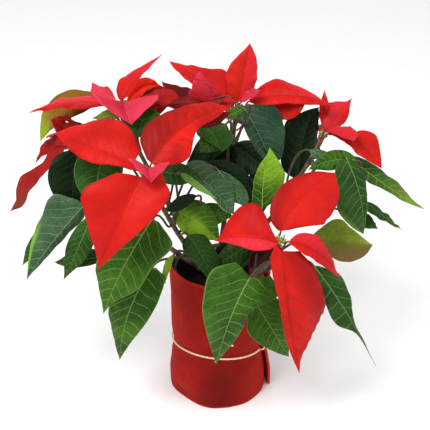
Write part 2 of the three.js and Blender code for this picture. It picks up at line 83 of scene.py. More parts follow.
# %% Make the camera
IMAGE_WIDTH = 430  # pixels
FOCAL_LENGTH = 1063  # pixels
SIDE_SHIFT = -2  # pixels from the lens's middle to the picture's
SENSOR_WIDTH = 36
CAMERA_PLACE = (0, -1045, 773)  # mm
LOOKS_DOWN = 27.7  # degrees below level

camera_data = bpy.data.cameras.new("camera")
camera_data.sensor_width = SENSOR_WIDTH
camera_data.lens = SENSOR_WIDTH * FOCAL_LENGTH / IMAGE_WIDTH
camera_data.shift_x = SIDE_SHIFT / IMAGE_WIDTH
camera = add_object("camera", camera_data)
camera.location = mm(CAMERA_PLACE)
camera.rotation_euler = (math.radians(90 - LOOKS_DOWN), 0, 0)
bpy.context.scene.camera = camera
bpy.context.scene.view_settings.view_transform = "Standard"
print(f"lens {camera_data.lens:.1f} mm")

# %% [markdown]
# ## Light
# Soft studio light has two parts. The world is an even pale sky that fills the shadows, and two large
# area lights give the leaves their shape: a key from the front left, above the camera, and a weaker
# fill from the right. An area light's softness comes from its size, so both are large.

# %% Make the lights
SKY_COLOUR = (1, 1, 1, 1)
SKY_STRENGTH = 0.8
LIT_PLACE = (0, 0, 220)  # mm, the middle of the plant
LIGHTS = {
    # name: place in mm, width in metres, power in watts
    "key": ((-650, -800, 1700), 0.8, 27),
    "fill": ((1300, -700, 900), 1.2, 5),
}


def area_light(name, place, width, power):
    """A square lamp that faces the middle of the plant."""
    data = bpy.data.lights.new(name, "AREA")
    data.size = width
    data.energy = power
    lamp = add_object(name, data)
    lamp.location = mm(place)
    towards = mm(LIT_PLACE) - lamp.location
    lamp.rotation_euler = towards.to_track_quat("-Z", "Y").to_euler()


for name, (place, width, power) in LIGHTS.items():
    area_light(name, place, width, power)

world = bpy.data.worlds.new("studio")
world.use_nodes = True
sky = world.node_tree.nodes["Background"].inputs
sky["Color"].default_value = SKY_COLOUR
sky["Strength"].default_value = SKY_STRENGTH
bpy.context.scene.world = world
print("lights:", ", ".join(LIGHTS))

# %% [markdown]
# ## Shader maths
# A material here is a small network of nodes, and its pattern is arithmetic on coordinates. Writing
# each Math node by hand is slow to read, so a Wire wraps one socket and lets Python's own signs build
# the nodes: `1 - mask * 0.5` adds two of them.

# %% A wire
class Wire:
    """One output socket, on which Python's arithmetic adds Math nodes."""

    def __init__(self, finish, socket):
        self.finish = finish
        self.socket = socket

    def maths(self, operation, *values):
        return self.finish.node("ShaderNodeMath", {"operation": operation}, dict(enumerate(values)))

    def __add__(self, other):
        return self.maths("ADD", self, other)

    __radd__ = __add__

    def __sub__(self, other):
        return self.maths("SUBTRACT", self, other)

    def __rsub__(self, other):
        return self.maths("SUBTRACT", other, self)

    def __mul__(self, other):
        return self.maths("MULTIPLY", self, other)

    __rmul__ = __mul__

    def __abs__(self):
        return self.maths("ABSOLUTE", self)

    def __gt__(self, limit):
        """1 where the wire is above a limit, and 0 elsewhere."""
        return self.maths("GREATER_THAN", self, limit)

    def sine(self):
        return self.maths("SINE", self)

    def part(self):
        """What is left after the whole number."""
        return self.maths("FRACT", self)


# %% [markdown]
# ## Finishes
# A Finish is one material. Its `node` method makes any node from its type, its settings and what goes
# into its sockets, and the other methods are the few patterns that the materials below share. What
# changes over a surface is fed to the shader at the end.

# %% A finish
class Finish:
    """One procedural material."""

    def __init__(self, name, constants):
        self.material = bpy.data.materials.new(name)
        self.material.use_nodes = True
        self.tree = self.material.node_tree
        self.shader = self.tree.nodes["Principled BSDF"]
        for socket, value in constants.items():
            self.shader.inputs[socket].default_value = value

    def node(self, kind, settings=None, sockets=None, output=0):
        made = self.tree.nodes.new(kind)
        for key, value in (settings or {}).items():
            setattr(made, key, value)
        for key, value in (sockets or {}).items():
            if isinstance(value, Wire):
                self.tree.links.new(value.socket, made.inputs[key])
            else:
                made.inputs[key].default_value = value
        return Wire(self, made.outputs[output])

    def feed(self, socket, wire):
        self.tree.links.new(wire.socket, self.shader.inputs[socket])

    def place(self):
        """Where a point is on the object, in metres."""
        return self.node("ShaderNodeTexCoord", output="Object")

    def attribute(self, name):
        """A value that the mesh carries at each of its points."""
        return self.node("ShaderNodeAttribute", {"attribute_name": name}, output="Fac")

    def noise(self, per_metre, detail=3, roughness=0.55):
        """Cloudy noise from 0 to 1, with so many clouds to the metre."""
        sockets = {"Vector": self.place(), "Scale": per_metre, "Detail": detail}
        sockets["Roughness"] = roughness
        return self.node("ShaderNodeTexNoise", None, sockets)

    def ramp(self, value, low, high):
        """0 below low, 1 above high and smooth between."""
        sockets = {"Value": value, "From Min": low, "From Max": high}
        return self.node("ShaderNodeMapRange", {"interpolation_type": "SMOOTHSTEP"}, sockets)

    def blend(self, factor, first, second):
        """A colour from first, at factor 0, to second, at factor 1."""
        sockets = {0: factor, 6: first, 7: second}
        return self.node("ShaderNodeMix", {"data_type": "RGBA"}, sockets, output=2)

    def bump(self, height, distance, strength=1.0):
        sockets = {"Strength": strength, "Distance": distance, "Height": height}
        self.feed("Normal", self.node("ShaderNodeBump", None, sockets))


def paint(red, green, blue):
    """A colour given as 0 to 255 on a screen, in the linear values that a shader uses."""
    def linear(value):
        # This is the sRGB curve, which every screen follows.
        share = value / 255
        return share / 12.92 if share <= 0.04045 else ((share + 0.055) / 1.055) ** 2.4

    return (linear(red), linear(green), linear(blue), 1.0)


# %% [markdown]
# ## From a bmesh to an object
# Every piece is drawn with bmesh operators and turned into an object at the end. A piece of the plant
# also rides on the part's one body, and says which CAD node it stands for, if any.

# %% Make objects
def make_object(bm, name, materials):
    mesh = bpy.data.meshes.new(name)
    bm.to_mesh(mesh)
    bm.free()
    mesh.shade_smooth()
    for material in materials:
        mesh.materials.append(material)
    return add_object(name, mesh)


def finish_piece(bm, name, materials, replaces=()):
    """Turns a bmesh into a smooth piece of the plant."""
    bmesh.ops.recalc_face_normals(bm, faces=bm.faces)
    piece = make_object(bm, name, materials)
    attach(piece, "root")
    if replaces:
        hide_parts(*replaces)
    return piece


# %% [markdown]
# ## Floor
# The plant stands on a plain pale floor that runs far behind it, so that no edge of it is in view.

# %% Make the floor
FLOOR_REACH = 20  # metres from its middle to its edges

floor_finish = Finish("pale_floor", {"Roughness": 0.7})
speckle = floor_finish.noise(40, detail=2)
pale, paler_still = paint(250, 250, 250), paint(253, 253, 253)
floor_finish.feed("Base Color", floor_finish.blend(speckle, pale, paler_still))

floor_bm = bmesh.new()
bmesh.ops.create_grid(floor_bm, x_segments=1, y_segments=1, size=FLOOR_REACH)
make_object(floor_bm, "floor", [floor_finish.material])

# %% [markdown]
# ## Steps and bells
# A few small formulas shape the whole plant. `mix` lies between two values, `soft` goes from 0 to 1
# without corners, and `bell` is 1 at a place and fades to both sides.

# %% Steps and bells
def mix(first, second, share):
    return first + (second - first) * share


def soft(value, low, high):
    """0 below low, 1 above high and smooth between."""
    share = min(max((value - low) / (high - low), 0), 1)
    return share * share * (3 - 2 * share)


def bell(distance, spread):
    """1 at no distance, and hardly anything beyond twice the spread."""
    return math.exp(-((distance / spread) ** 2))


# %% [markdown]
# ## Curves
# Each of these works out a point from a few others. `smooth_through` draws one curve through a few
# values, `bezier` gives a point on a Bezier curve, and `around` gives one on a circle.

# %% Curves
def smooth_through(places, values, at):
    """A smooth curve through the values at these places."""
    last = len(places) - 1
    i = max(k for k in range(last) if places[k] <= at)

    def slope(k):
        low, high = max(k - 1, 0), min(k + 1, last)
        return (values[high] - values[low]) / (places[high] - places[low])

    gap = places[i + 1] - places[i]
    u = (at - places[i]) / gap
    start = (1 + 2 * u) * (1 - u) ** 2 * values[i] + u * (1 - u) ** 2 * gap * slope(i)
    end = u * u * (3 - 2 * u) * values[i + 1] - u * u * (1 - u) * gap * slope(i + 1)
    return max(start + end, 0)


def bezier(corners, t):
    """A point on the Bezier curve with these corners."""
    while len(corners) > 1:
        corners = [a.lerp(b, t) for a, b in zip(corners, corners[1:])]
    return corners[0]


def around(angle, radius, height):
    """A point so far from the upright axis, in the direction of an angle."""
    return Vector((radius * math.cos(angle), radius * math.sin(angle), height))


# %% [markdown]
# ## How a blade is described
# A bract is a coloured leaf, so one recipe grows both. Five points place a blade: where its stalk ends,
# the midrib where the blade is widest, the tip, and the two edges at the widest place. The packed
# model was made from the same points, so each blade here lies on its CAD node. `at` is the place of
# its stalk on the shoot, from 0 at the foot to 1 at the flowers, and `wide` is where along the blade
# it is widest. The outline is either one formula with a taper, or drawn through a few widths.

# %% A blade's own facts
OUTLINE_PLACES = (0, 0.1, 0.35, 0.6, 0.85, 1)  # shares of the way to the tip
BASE_WIDTH = {"lobed": 0.55, "plain": 0.25}  # at the stalk, as a share of the first width given
POINT_PULL = 0.4  # how much a higher taper draws out the tip
LENGTH_STEPS = 12
NUDGE = 0.001  # a short way to both sides of a point, to see which way a curve runs there


@dataclass
class Blade:
    """One bract or leaf, with its points in millimetres."""

    kind: str
    name: str
    at: float
    start: tuple
    middle: tuple
    tip: tuple
    left: tuple
    right: tuple
    wide: float
    look: str
    taper: float = 1.0
    arch: float = 0.22  # how far each half bows up between the midrib and the edge
    ruffle: float = 2.0  # waviness of the edge, in mm
    shape: tuple = ()  # how wide the left and the right half are at the four inner outline places
    places: tuple = OUTLINE_PLACES  # stalk, the four inner places, and tip
    lobes: float = 0.0  # how far the base of each half reaches back past the stalk, in mm
    ridges: float = 0.0  # height of the ridges between the side veins, in mm

    def rib(self, t):
        """The midrib: one parabola through the start, the widest place and the tip."""
        w = self.wide
        return (
            mm(self.start) * ((t - w) * (t - 1) / w)
            + mm(self.middle) * (t * (t - 1) / (w * (w - 1)))
            + mm(self.tip) * (t * (t - w) / (1 - w))
        )

    def direction(self, t):
        return (self.rib(t + NUDGE) - self.rib(t - NUDGE)).normalized()

    def width(self, t, side):
        """How wide a half is at t, as a share of its widest."""
        t = min(max(t, 0), 1)
        if self.shape:
            shares = self.shape[0] if side > 0 else self.shape[1]
            first = shares[0] * BASE_WIDTH["lobed" if self.lobes else "plain"]
            return smooth_through(self.places, (first, *shares, 0), t)
        if t < self.wide:
            round_base = self.taper * self.wide / (1 - self.wide)
            peak = self.wide**round_base * (1 - self.wide) ** self.taper
            return t**round_base * (1 - t) ** self.taper / peak
        beyond = (t - self.wide) / (1 - self.wide)
        point = 1 + POINT_PULL * self.taper
        return (1 - beyond) ** point * (1 + point * beyond)

    def length(self):
        points = [self.rib(i / LENGTH_STEPS) for i in range(LENGTH_STEPS + 1)]
        return sum((after - before).length for before, after in zip(points, points[1:]))


def bract(name, at, start, middle, tip, left, right, wide, look="red", **more):
    return Blade("bract", name, at, start, middle, tip, left, right, wide, look, **more)


def leaf(name, at, start, middle, tip, left, right, wide, look="green", **more):
    return Blade("leaf", name, at, start, middle, tip, left, right, wide, look, **more)


# %% [markdown]
# ## Veins
# A leaf's side veins leave the midrib on alternate sides and bend towards the tip. One formula says
# how far a point is along this comb of veins, and both the mesh and the material use it, so that the
# painted lines lie in the grooves. It only adds, multiplies and takes sines, so it works on numbers
# and on shader wires alike.

# %% The comb of side veins
VEIN_COUNT = 9.0
VEIN_SWEEP = 0.42  # how far a vein runs towards the tip for each step outwards
VEIN_BEND = 1.5  # how much that grows on the way out
VEIN_WANDER = 0.10  # how far a vein strays, in vein gaps
WANDER_ALONG, WANDER_OUT = 11, 19  # how fast it strays along the blade and outwards
VEIN_STAGGER = 0.45  # how far the left half's veins are shifted, in vein gaps


def vein_phase(along, out, sine):
    """Counts veins. Both distances are in blade lengths, and a vein lies at each half."""
    swept = along - out * VEIN_SWEEP - out * out * VEIN_BEND
    return swept * VEIN_COUNT + sine(along * WANDER_ALONG + out * WANDER_OUT) * VEIN_WANDER


def groove_depth(along, out, on_left):
    """0 on a side vein and 1 halfway between two."""
    phase = vein_phase(along, out, math.sin) + (VEIN_STAGGER if on_left else 0.0)
    return 0.5 + 0.5 * math.cos(phase * math.tau)


# %% [markdown]
# ## Blade colours
# Each look is one red or green with its own veins. The last colour is the second one, which some
# blades turn to over a part, such as a browning half or a lime tip. On some red looks the second
# colour is painted light instead: pink is a painted sheen and dark red is painted shade. Some whole
# looks are painted shade, and one is a painted sheen, as the notes beside them say.

# %% The looks
LOOKS = {
    # name: deep colour, light colour, vein colour, second colour, roughness
    "red": {
        # its second colour, pink, is a painted sheen
        "red": ((164, 14, 10), (198, 22, 15), (140, 10, 10), (204, 40, 54), 0.5),
        # its second colour, dark red, is painted shade
        "bright": ((172, 18, 12), (194, 25, 18), (164, 16, 12), (124, 10, 8), 0.5),
        "shaded": ((150, 12, 8), (202, 26, 16), (112, 8, 8), (104, 8, 6), 0.5),
        # its second colour, pink, is a painted sheen
        "orange": ((186, 24, 8), (214, 36, 12), (146, 14, 8), (210, 38, 62), 0.5),
        "pink": ((180, 28, 48), (196, 46, 70), (226, 96, 112), (176, 20, 16), 0.5),
        # painted shade: a darkened red for bracts that lie in shade
        "maroon": ((78, 6, 8), (112, 10, 10), (60, 6, 8), (150, 14, 10), 0.5),
        # painted shade: a near-black red for a bract deep in shade
        "deep": ((44, 8, 8), (70, 12, 10), (36, 6, 6), (120, 14, 10), 0.5),
        # darker reds: painted shade on the hanging bracts; the second colour is their own browner tip
        "drooping": ((116, 10, 8), (152, 18, 13), (104, 10, 10), (112, 46, 34), 0.5),
    },
    "green": {
        "green": ((24, 56, 8), (58, 100, 20), (126, 156, 74), (116, 140, 50), 0.42),
        "mid": ((20, 48, 10), (44, 82, 22), (104, 136, 70), (104, 144, 40), 0.42),
        "low": ((14, 38, 8), (34, 68, 18), (88, 118, 58), (84, 120, 34), 0.42),
        # painted shade: a darkened green for leaves in the shade inside the plant
        "dark": ((5, 17, 4), (13, 32, 8), (42, 66, 34), (60, 90, 26), 0.42),
        "teal": ((20, 42, 28), (42, 72, 48), (92, 120, 88), (104, 144, 40), 0.44),
        # a green greyed by a painted sheen
        "grey": ((38, 64, 40), (68, 100, 66), (122, 148, 110), (112, 160, 44), 0.46),
        "lime": ((84, 128, 20), (134, 174, 38), (164, 194, 76), (34, 78, 16), 0.46),
        "olive": ((104, 66, 10), (130, 88, 18), (100, 72, 20), (130, 152, 22), 0.5),
        "brown": ((82, 104, 18), (128, 142, 40), (104, 104, 40), (98, 78, 40), 0.5),
    },
}
VEIN_SHOWN = {"red": 0.55, "green": 0.9}  # how much the veins differ from the rest
UNDERSIDE = {"red": (180, 50, 44), "green": (104, 128, 84)}  # what the undersides pale towards
UNDERSIDE_SHARE = 0.35  # how far they do so
UNDERSIDE_ROUGHER = 0.12


def paler(colour, towards):
    """The underside of a blade is duller and paler than its upper side."""
    return [mix(a, b, UNDERSIDE_SHARE) for a, b in zip(colour, towards)]


# %% [markdown]
# ## Veins as a pattern
# The pattern follows the blade, so it reads the blade's UV map: U runs from stalk to tip and V crosses
# it, both in blade lengths, with the midrib at 0.5. Three masks are 1 on a vein and 0 off it: the
# midrib, the side veins, which fade towards the edge, and the fine net between them.

# %% Vein masks
BRANCH_LINE = (0.008, 0.05)  # half a side vein's width at its darkest and in all, in vein gaps
BRANCH_FADE = (0.08, 0.24)  # where side veins begin and end fading, in blade lengths from the midrib
BRANCH_FADED = 0.65  # how much of them is gone at the end
MIDRIB_LINE = (0.003, 0.010)  # the same for the midrib, in blade lengths
MIDRIB_THINS = 0.006  # how much thinner the midrib is at the tip
NET_PER_METRE = 330.0
NET_LINE = 0.09  # where the net ends, in its cells


def vein_masks(finish):
    """The masks of the midrib, the side veins and the net."""
    uv = finish.node("ShaderNodeUVMap", {"uv_map": "blade"})
    along = finish.node("ShaderNodeSeparateXYZ", None, {0: uv}, output=0)
    across = finish.node("ShaderNodeSeparateXYZ", None, {0: uv}, output=1)
    out = abs(across - 0.5)
    phase = vein_phase(along, out, Wire.sine) + (across > 0.5) * VEIN_STAGGER
    branch = 1 - finish.ramp(abs(phase.part() - 0.5), *BRANCH_LINE)
    branch = branch * (1 - finish.ramp(out, *BRANCH_FADE) * BRANCH_FADED)
    midrib = 1 - finish.ramp(out + along * MIDRIB_THINS, *MIDRIB_LINE)
    cells = {"Vector": finish.place(), "Scale": NET_PER_METRE}
    net = finish.node("ShaderNodeTexVoronoi", {"feature": "DISTANCE_TO_EDGE"}, cells)
    return midrib, branch, 1 - finish.ramp(net, 0.0, NET_LINE)


# %% [markdown]
# ## Blade finishes
# Two noises mottle the ground colour. The veins are blended over it, from the faintest to the
# strongest, and so is a thin rim along the edge. On the upper side veins lie in the surface, and
# below they stand out of it. Every look gives one finish for each side.

# %% Make the blade finishes
VEIN_BLENDS = {"net": 0.12, "branch": 0.75, "rim": 0.6, "midrib": 0.9}  # how strongly each is painted
VEIN_RELIEF = {"net": 0.15, "branch": 0.5}  # how deep each is, beside the midrib's 1
RIM_START = 0.95  # share of the way from the midrib to the edge
BLADE_BUMP = 0.6 * MM


def blade_finish(name, colours, roughness, vein_shown, relief_sign):
    deep, light, vein, second = (paint(*colour) for colour in colours)
    finish = Finish(name, {"Roughness": roughness, "Specular IOR Level": 0.1})
    midrib, branch, net = vein_masks(finish)
    fine = finish.noise(420, detail=4)
    cloud = finish.noise(28, detail=3)
    rim = finish.ramp(finish.attribute("outward"), RIM_START, 1.0)
    colour = finish.blend(finish.ramp(cloud * 0.7 + fine * 0.3, 0.32, 0.68), deep, light)
    # the second colour: the blade's own browning and lime, and on some red bracts a painted sheen and
    # painted shade
    colour = finish.blend(finish.attribute("turning") * (0.75 + fine * 0.5), colour, second)
    for vein_kind, mask in {"net": net, "branch": branch, "rim": rim, "midrib": midrib}.items():
        colour = finish.blend(mask * VEIN_BLENDS[vein_kind] * vein_shown, colour, vein)
    finish.feed("Base Color", colour)
    finish.feed("Roughness", roughness + (fine - 0.5) * 0.16 + branch * 0.08)
    relief = midrib + branch * VEIN_RELIEF["branch"] + net * VEIN_RELIEF["net"]
    finish.bump(fine * 0.3 + cloud * 0.2 + relief * relief_sign * 0.5, BLADE_BUMP, 0.5)
    return finish.material


FINISHES = {}
for family, looks in LOOKS.items():
    shown = VEIN_SHOWN[family]
    for look, (*colours, roughness) in looks.items():
        backs = [paler(colour, UNDERSIDE[family]) for colour in colours]
        upper = blade_finish(f"{look}_upper", colours, roughness, shown, -1)
        under = blade_finish(f"{look}_under", backs, roughness + UNDERSIDE_ROUGHER, shown, 1)
        FINISHES[look] = (upper, under)
print("blade looks:", len(FINISHES))

# %% [markdown]
# ## Stalk and stem finishes
# Young stems are green and smooth, older wood is brown and cracked, and leaf stalks are flushed red
# where the sun reaches them. Clouds of noise mix the two colours of each.

# %% Make the stem finishes
def stem_finish(name, first, second, roughness, per_metre=120, bump=0.3 * MM):
    finish = Finish(name, {"Roughness": roughness})
    cloud = finish.noise(per_metre, detail=4)
    fine = finish.noise(1400, detail=2)
    mixed = finish.blend(finish.ramp(cloud, 0.35, 0.65), paint(*first), paint(*second))
    finish.feed("Base Color", mixed)
    finish.feed("Roughness", roughness + (cloud - 0.5) * 0.2)
    finish.bump(cloud + fine * 0.4, bump)
    return finish.material


GREEN_STEM = stem_finish("green_stem", (98, 84, 48), (74, 58, 38), 0.5)
WOODY_STEM = stem_finish("woody_stem", (104, 78, 52), (70, 52, 36), 0.7, 300, 0.6 * MM)
CUT_WOOD = stem_finish("cut_wood", (196, 150, 120), (220, 186, 150), 0.8, 500, 0.4 * MM)
STALKS = {
    "bract": stem_finish("red_stalk", (142, 26, 20), (104, 34, 24), 0.45),
    "leaf": stem_finish("leaf_stalk", (72, 40, 30), (66, 62, 32), 0.45),
}

# %% [markdown]
# ## Tubes
# Stems and stalks are round and taper. A tube starts as one capped circle, and each next ring is the
# end face extruded and carried on by one matrix. That keeps it a closed skin all the way.

# %% Extrude a tube along points
def frames_along(points):
    """A matrix at each point, turned as little as possible from one to the next."""
    frames = []
    tangent = None
    for i, point in enumerate(points):
        ahead = (points[min(i + 1, len(points) - 1)] - points[max(i - 1, 0)]).normalized()
        if tangent is None:
            turn = ahead.to_track_quat("Z", "Y")
        else:
            turn = tangent.rotation_difference(ahead) @ turn
        tangent = ahead
        frames.append(Matrix.Translation(point) @ turn.to_matrix().to_4x4())
    return frames


def grow_tube(bm, points, radii, sides=8, material=0):
    """Adds a tube with a radius at each point, and gives back its corners."""
    frames = [at @ Matrix.Scale(radius, 4) for at, radius in zip(frames_along(points), radii)]
    ring = bmesh.ops.create_circle(bm, cap_ends=True, segments=sides, radius=1, matrix=frames[0])
    face = ring["verts"][0].link_faces[0]
    made = set(ring["verts"])
    for before, after in zip(frames, frames[1:]):
        grown = bmesh.ops.extrude_face_region(bm, geom=[face])["geom"]
        verts = [g for g in grown if isinstance(g, bmesh.types.BMVert)]
        face = next(g for g in grown if isinstance(g, bmesh.types.BMFace))
        bmesh.ops.transform(bm, matrix=after @ before.inverted(), verts=verts)
        made.update(verts)
    for vert in made:
        for touching in vert.link_faces:
            touching.material_index = material
    return made


# %% [markdown]
# ## Rows of a blade
# A blade starts as a flat grid whose rows cross it. Each row is carried to its place along the
# midrib, and its two halves lean as the blade's two edge points say. The rows lie a little closer
# together near the stalk.

# %% Rows
ALONG_STEPS = 64
ACROSS_STEPS = 24
ROW_CROWDING = 1.15  # at 1 all rows are evenly spaced
LEAST_HALF = {"base": 1.1 * MM, "tip": 0.25 * MM}  # a half is never narrower than this


def blade_rows(blade):
    """For each row of the grid: its place on the midrib, its two halves and its upward direction."""
    middle = mm(blade.middle)
    middle_direction = blade.direction(blade.wide)
    halves = {1: mm(blade.left) - middle, -1: mm(blade.right) - middle}
    across = (halves[1] - halves[-1]).normalized()
    up_at_middle = middle_direction.cross(across).normalized()
    rows = []
    for i in range(ALONG_STEPS + 1):
        t = (i / ALONG_STEPS) ** ROW_CROWDING
        turn = middle_direction.rotation_difference(blade.direction(t))
        row = {"t": t, "centre": blade.rib(t), "up": turn @ up_at_middle}
        for side, half in halves.items():
            least = LEAST_HALF["base" if t < 0.5 else "tip"] / half.length
            row[side] = (turn @ half) * max(blade.width(t, side), least)
        rows.append(row)
    return rows


# %% [markdown]
# ## The lift of a blade
# Small moves up and down make a blade alive: halves that bow up between midrib and edge, grooves along
# the side veins, and a gently waving margin. The waves are three sines of different pace, and chance
# sets where each starts.

# %% Lift
BOW = 1.6  # how high a half bows for its arch
GROOVE = {"leaf": 0.35 * MM, "bract": 0.25 * MM}  # how deep the side veins lie
GROOVE_START = 4  # the higher, the nearer to the midrib the grooves begin
EDGE_WAVES = ((17, 1), (31, 0.6), (9, 0.4))  # pace along the blade, and size
WAVE_SIZE = 0.5  # for a ruffle of 1
WAVE_AT_EDGE = 2.5  # the higher, the more the waves keep to the edge


def blade_lift(blade, t, side, share, half_width, from_rib, starts):
    """How far a point rises from its flat row, at this share of the way from midrib to edge."""
    lift = blade.arch * half_width * share * (1 - share) * BOW
    middling = math.sin(math.pi * min(max(t, 0), 1))
    quilt = GROOVE[blade.kind] + blade.ridges * MM
    lift += quilt * groove_depth(t, from_rib, side > 0) * min(share * GROOVE_START, 1) * middling
    wave = sum(size * math.sin(t * pace + start) for (pace, size), start in zip(EDGE_WAVES, starts))
    return lift + blade.ruffle * MM * WAVE_SIZE * wave * share**WAVE_AT_EDGE * middling


# %% [markdown]
# ## Growing a blade
# The grid's corners go to their places, with the values that the materials read. A solidify step gives
# it thickness, and the faces that look down get the finish of the underside. Solidify follows the face
# normals, so they are brought up to date first.

# %% Blade mesh
BLADE_THICKNESS = {"leaf": 0.45 * MM, "bract": 0.4 * MM}
LOBE_END = 0.2  # share of the blade over which a lobe fades


def lay_blade(bm, blade, rows, layers, turning):
    """Moves each corner of the flat grid to its place on the blade."""
    chance = random.Random(blade.name + str(blade.tip))
    starts = {side: [chance.uniform(0, ABOUT_A_TURN) for _ in EDGE_WAVES] for side in (1, -1)}
    length = blade.length()
    base_direction = blade.direction(0)
    for vert in bm.verts:
        row = rows[round((vert.co.x + 0.5) * ALONG_STEPS)]
        across = vert.co.y * 2
        side = 1 if across >= 0 else -1
        share = abs(across)
        half, t = row[side], row["t"]
        from_rib = share * half.length / length
        lift = blade_lift(blade, t, side, share, half.length, from_rib, starts[side])
        back = blade.lobes * MM * share * max(1 - t / LOBE_END, 0) ** 2
        vert.co = row["centre"] + half * share + row["up"] * lift - base_direction * back
        vert[layers["u"]] = t
        vert[layers["v"]] = 0.5 + side * from_rib
        # the share of the second colour, which on some bracts is painted sheen and painted shade
        vert[layers["turning"]] = turning(t, across) if turning else 0.0
        vert[layers["outward"]] = share


def grow_blade(bm, blade, turning=None):
    """Adds the whole blade, and gives back its rows for the midrib."""
    layers = {name: bm.verts.layers.float.new(name) for name in ("u", "v", "turning", "outward")}
    uv_layer = bm.loops.layers.uv.new("blade")
    rows = blade_rows(blade)
    bmesh.ops.create_grid(bm, x_segments=ALONG_STEPS, y_segments=ACROSS_STEPS, size=0.5)
    lay_blade(bm, blade, rows, layers, turning)
    bm.normal_update()
    bmesh.ops.solidify(bm, geom=bm.faces[:], thickness=BLADE_THICKNESS[blade.kind])
    bmesh.ops.recalc_face_normals(bm, faces=bm.faces)
    bm.normal_update()
    for face in bm.faces:
        step = int(face.verts[0][layers["u"]] ** (1 / ROW_CROWDING) * ALONG_STEPS)
        up = rows[min(step, ALONG_STEPS)]["up"]
        face.material_index = 1 if face.normal.dot(up) < 0 else 0
        for loop in face.loops:
            loop[uv_layer].uv = (loop.vert[layers["u"]], loop.vert[layers["v"]])
    return rows


# %% [markdown]
# ## Stalks
# A stalk leaves the side of the shoot that faces its blade, bends, and runs on under the blade as the
# midrib, growing thinner towards the tip. One tube does both.

# %% Stalk and midrib
SHOOT_RADIUS = {"foot": 3.4 * MM, "top": 2.3 * MM}
STALK_RADIUS = {"leaf": 1.3 * MM, "bract": 1.0 * MM}
STALK_STEPS = 14
STALK_FOOT = 1.25  # how much thicker a stalk is where it starts
STALK_BENDS = {"out": 0.3, "up": 0.12, "in": 0.32}  # shares of the way from shoot to blade
MIDRIB_STEPS = 16
MIDRIB_START = 0.85  # share of the stalk's radius, where the blade begins
MIDRIB_END = 0.12 * MM  # radius that is left at the tip
MIDRIB_THINNING = 0.8  # below 1, it stays thick for longer
MIDRIB_SINK = 1.1  # how far below the blade its middle lies, in its own radii


def shoot_radius(at):
    return mix(SHOOT_RADIUS["foot"], SHOOT_RADIUS["top"], at)


def stalk_corners(blade, path):
    start = mm(blade.start)
    foot = bezier(path, blade.at)
    along = (bezier(path, blade.at + NUDGE) - bezier(path, blade.at - NUDGE)).normalized()
    outward = start - foot
    outward = (outward - along * outward.dot(along)).normalized()
    foot = foot + outward * (shoot_radius(blade.at) + GAP)
    reach = (start - foot).length
    leaving = foot + outward * (STALK_BENDS["out"] * reach) + along * (STALK_BENDS["up"] * reach)
    arriving = start - blade.direction(0) * (STALK_BENDS["in"] * reach)
    return [foot, leaving, arriving, start]


def grow_stalk(bm, blade, path, rows):
    corners = stalk_corners(blade, path)
    radius = STALK_RADIUS[blade.kind]
    points = [bezier(corners, i / STALK_STEPS) for i in range(STALK_STEPS)]
    radii = [radius * STALK_FOOT] + [radius] * (STALK_STEPS - 1)
    for row in rows[:: ALONG_STEPS // MIDRIB_STEPS][:-1]:
        thin = radius * (1 - row["t"]) ** MIDRIB_THINNING * MIDRIB_START + MIDRIB_END
        points.append(row["centre"] - row["up"] * thin * MIDRIB_SINK)
        radii.append(thin)
    grow_tube(bm, points, radii, sides=8, material=2)


# %% [markdown]
# ## One whole blade
# Blade and stalk share a bmesh and become one piece with three materials. A blade that is in the packed
# model takes its CAD node's place. The others are small or hidden ones that only the looks need.


def make_blade(shoot_name, path, blade, turning):
    bm = bmesh.new()
    rows = grow_blade(bm, blade, turning)
    grow_stalk(bm, blade, path, rows)
    name = f"{shoot_name}_{blade.name}_{blade.kind}"
    node = f"{blade.kind}_{shoot_name}_{blade.name}"
    replaces = [node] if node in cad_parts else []
    materials = [*FINISHES[blade.look], STALKS[blade.kind]]
    finish_piece(bm, name, materials, replaces)


# %% [markdown]
# ## Where everything grows
# Six side shoots leave the main stem. Each is a curve through three points, and its blades are listed
# with it, in millimetres: name, place on the shoot, stalk end, middle, tip, left edge, right edge and
# where the blade is widest. The look names the finish.

# %% A place for the shoots
SHOOTS = {}


def grow(name, path, blades):
    SHOOTS[name] = (path, blades)
    print(name, "shoot:", len(blades), "blades")


# %% [markdown]
# ## The near left shoot
# It leans to the front left, over the pot's rim. Its large bracts hide the far shoots, and two big
# leaves hang down beside the felt.

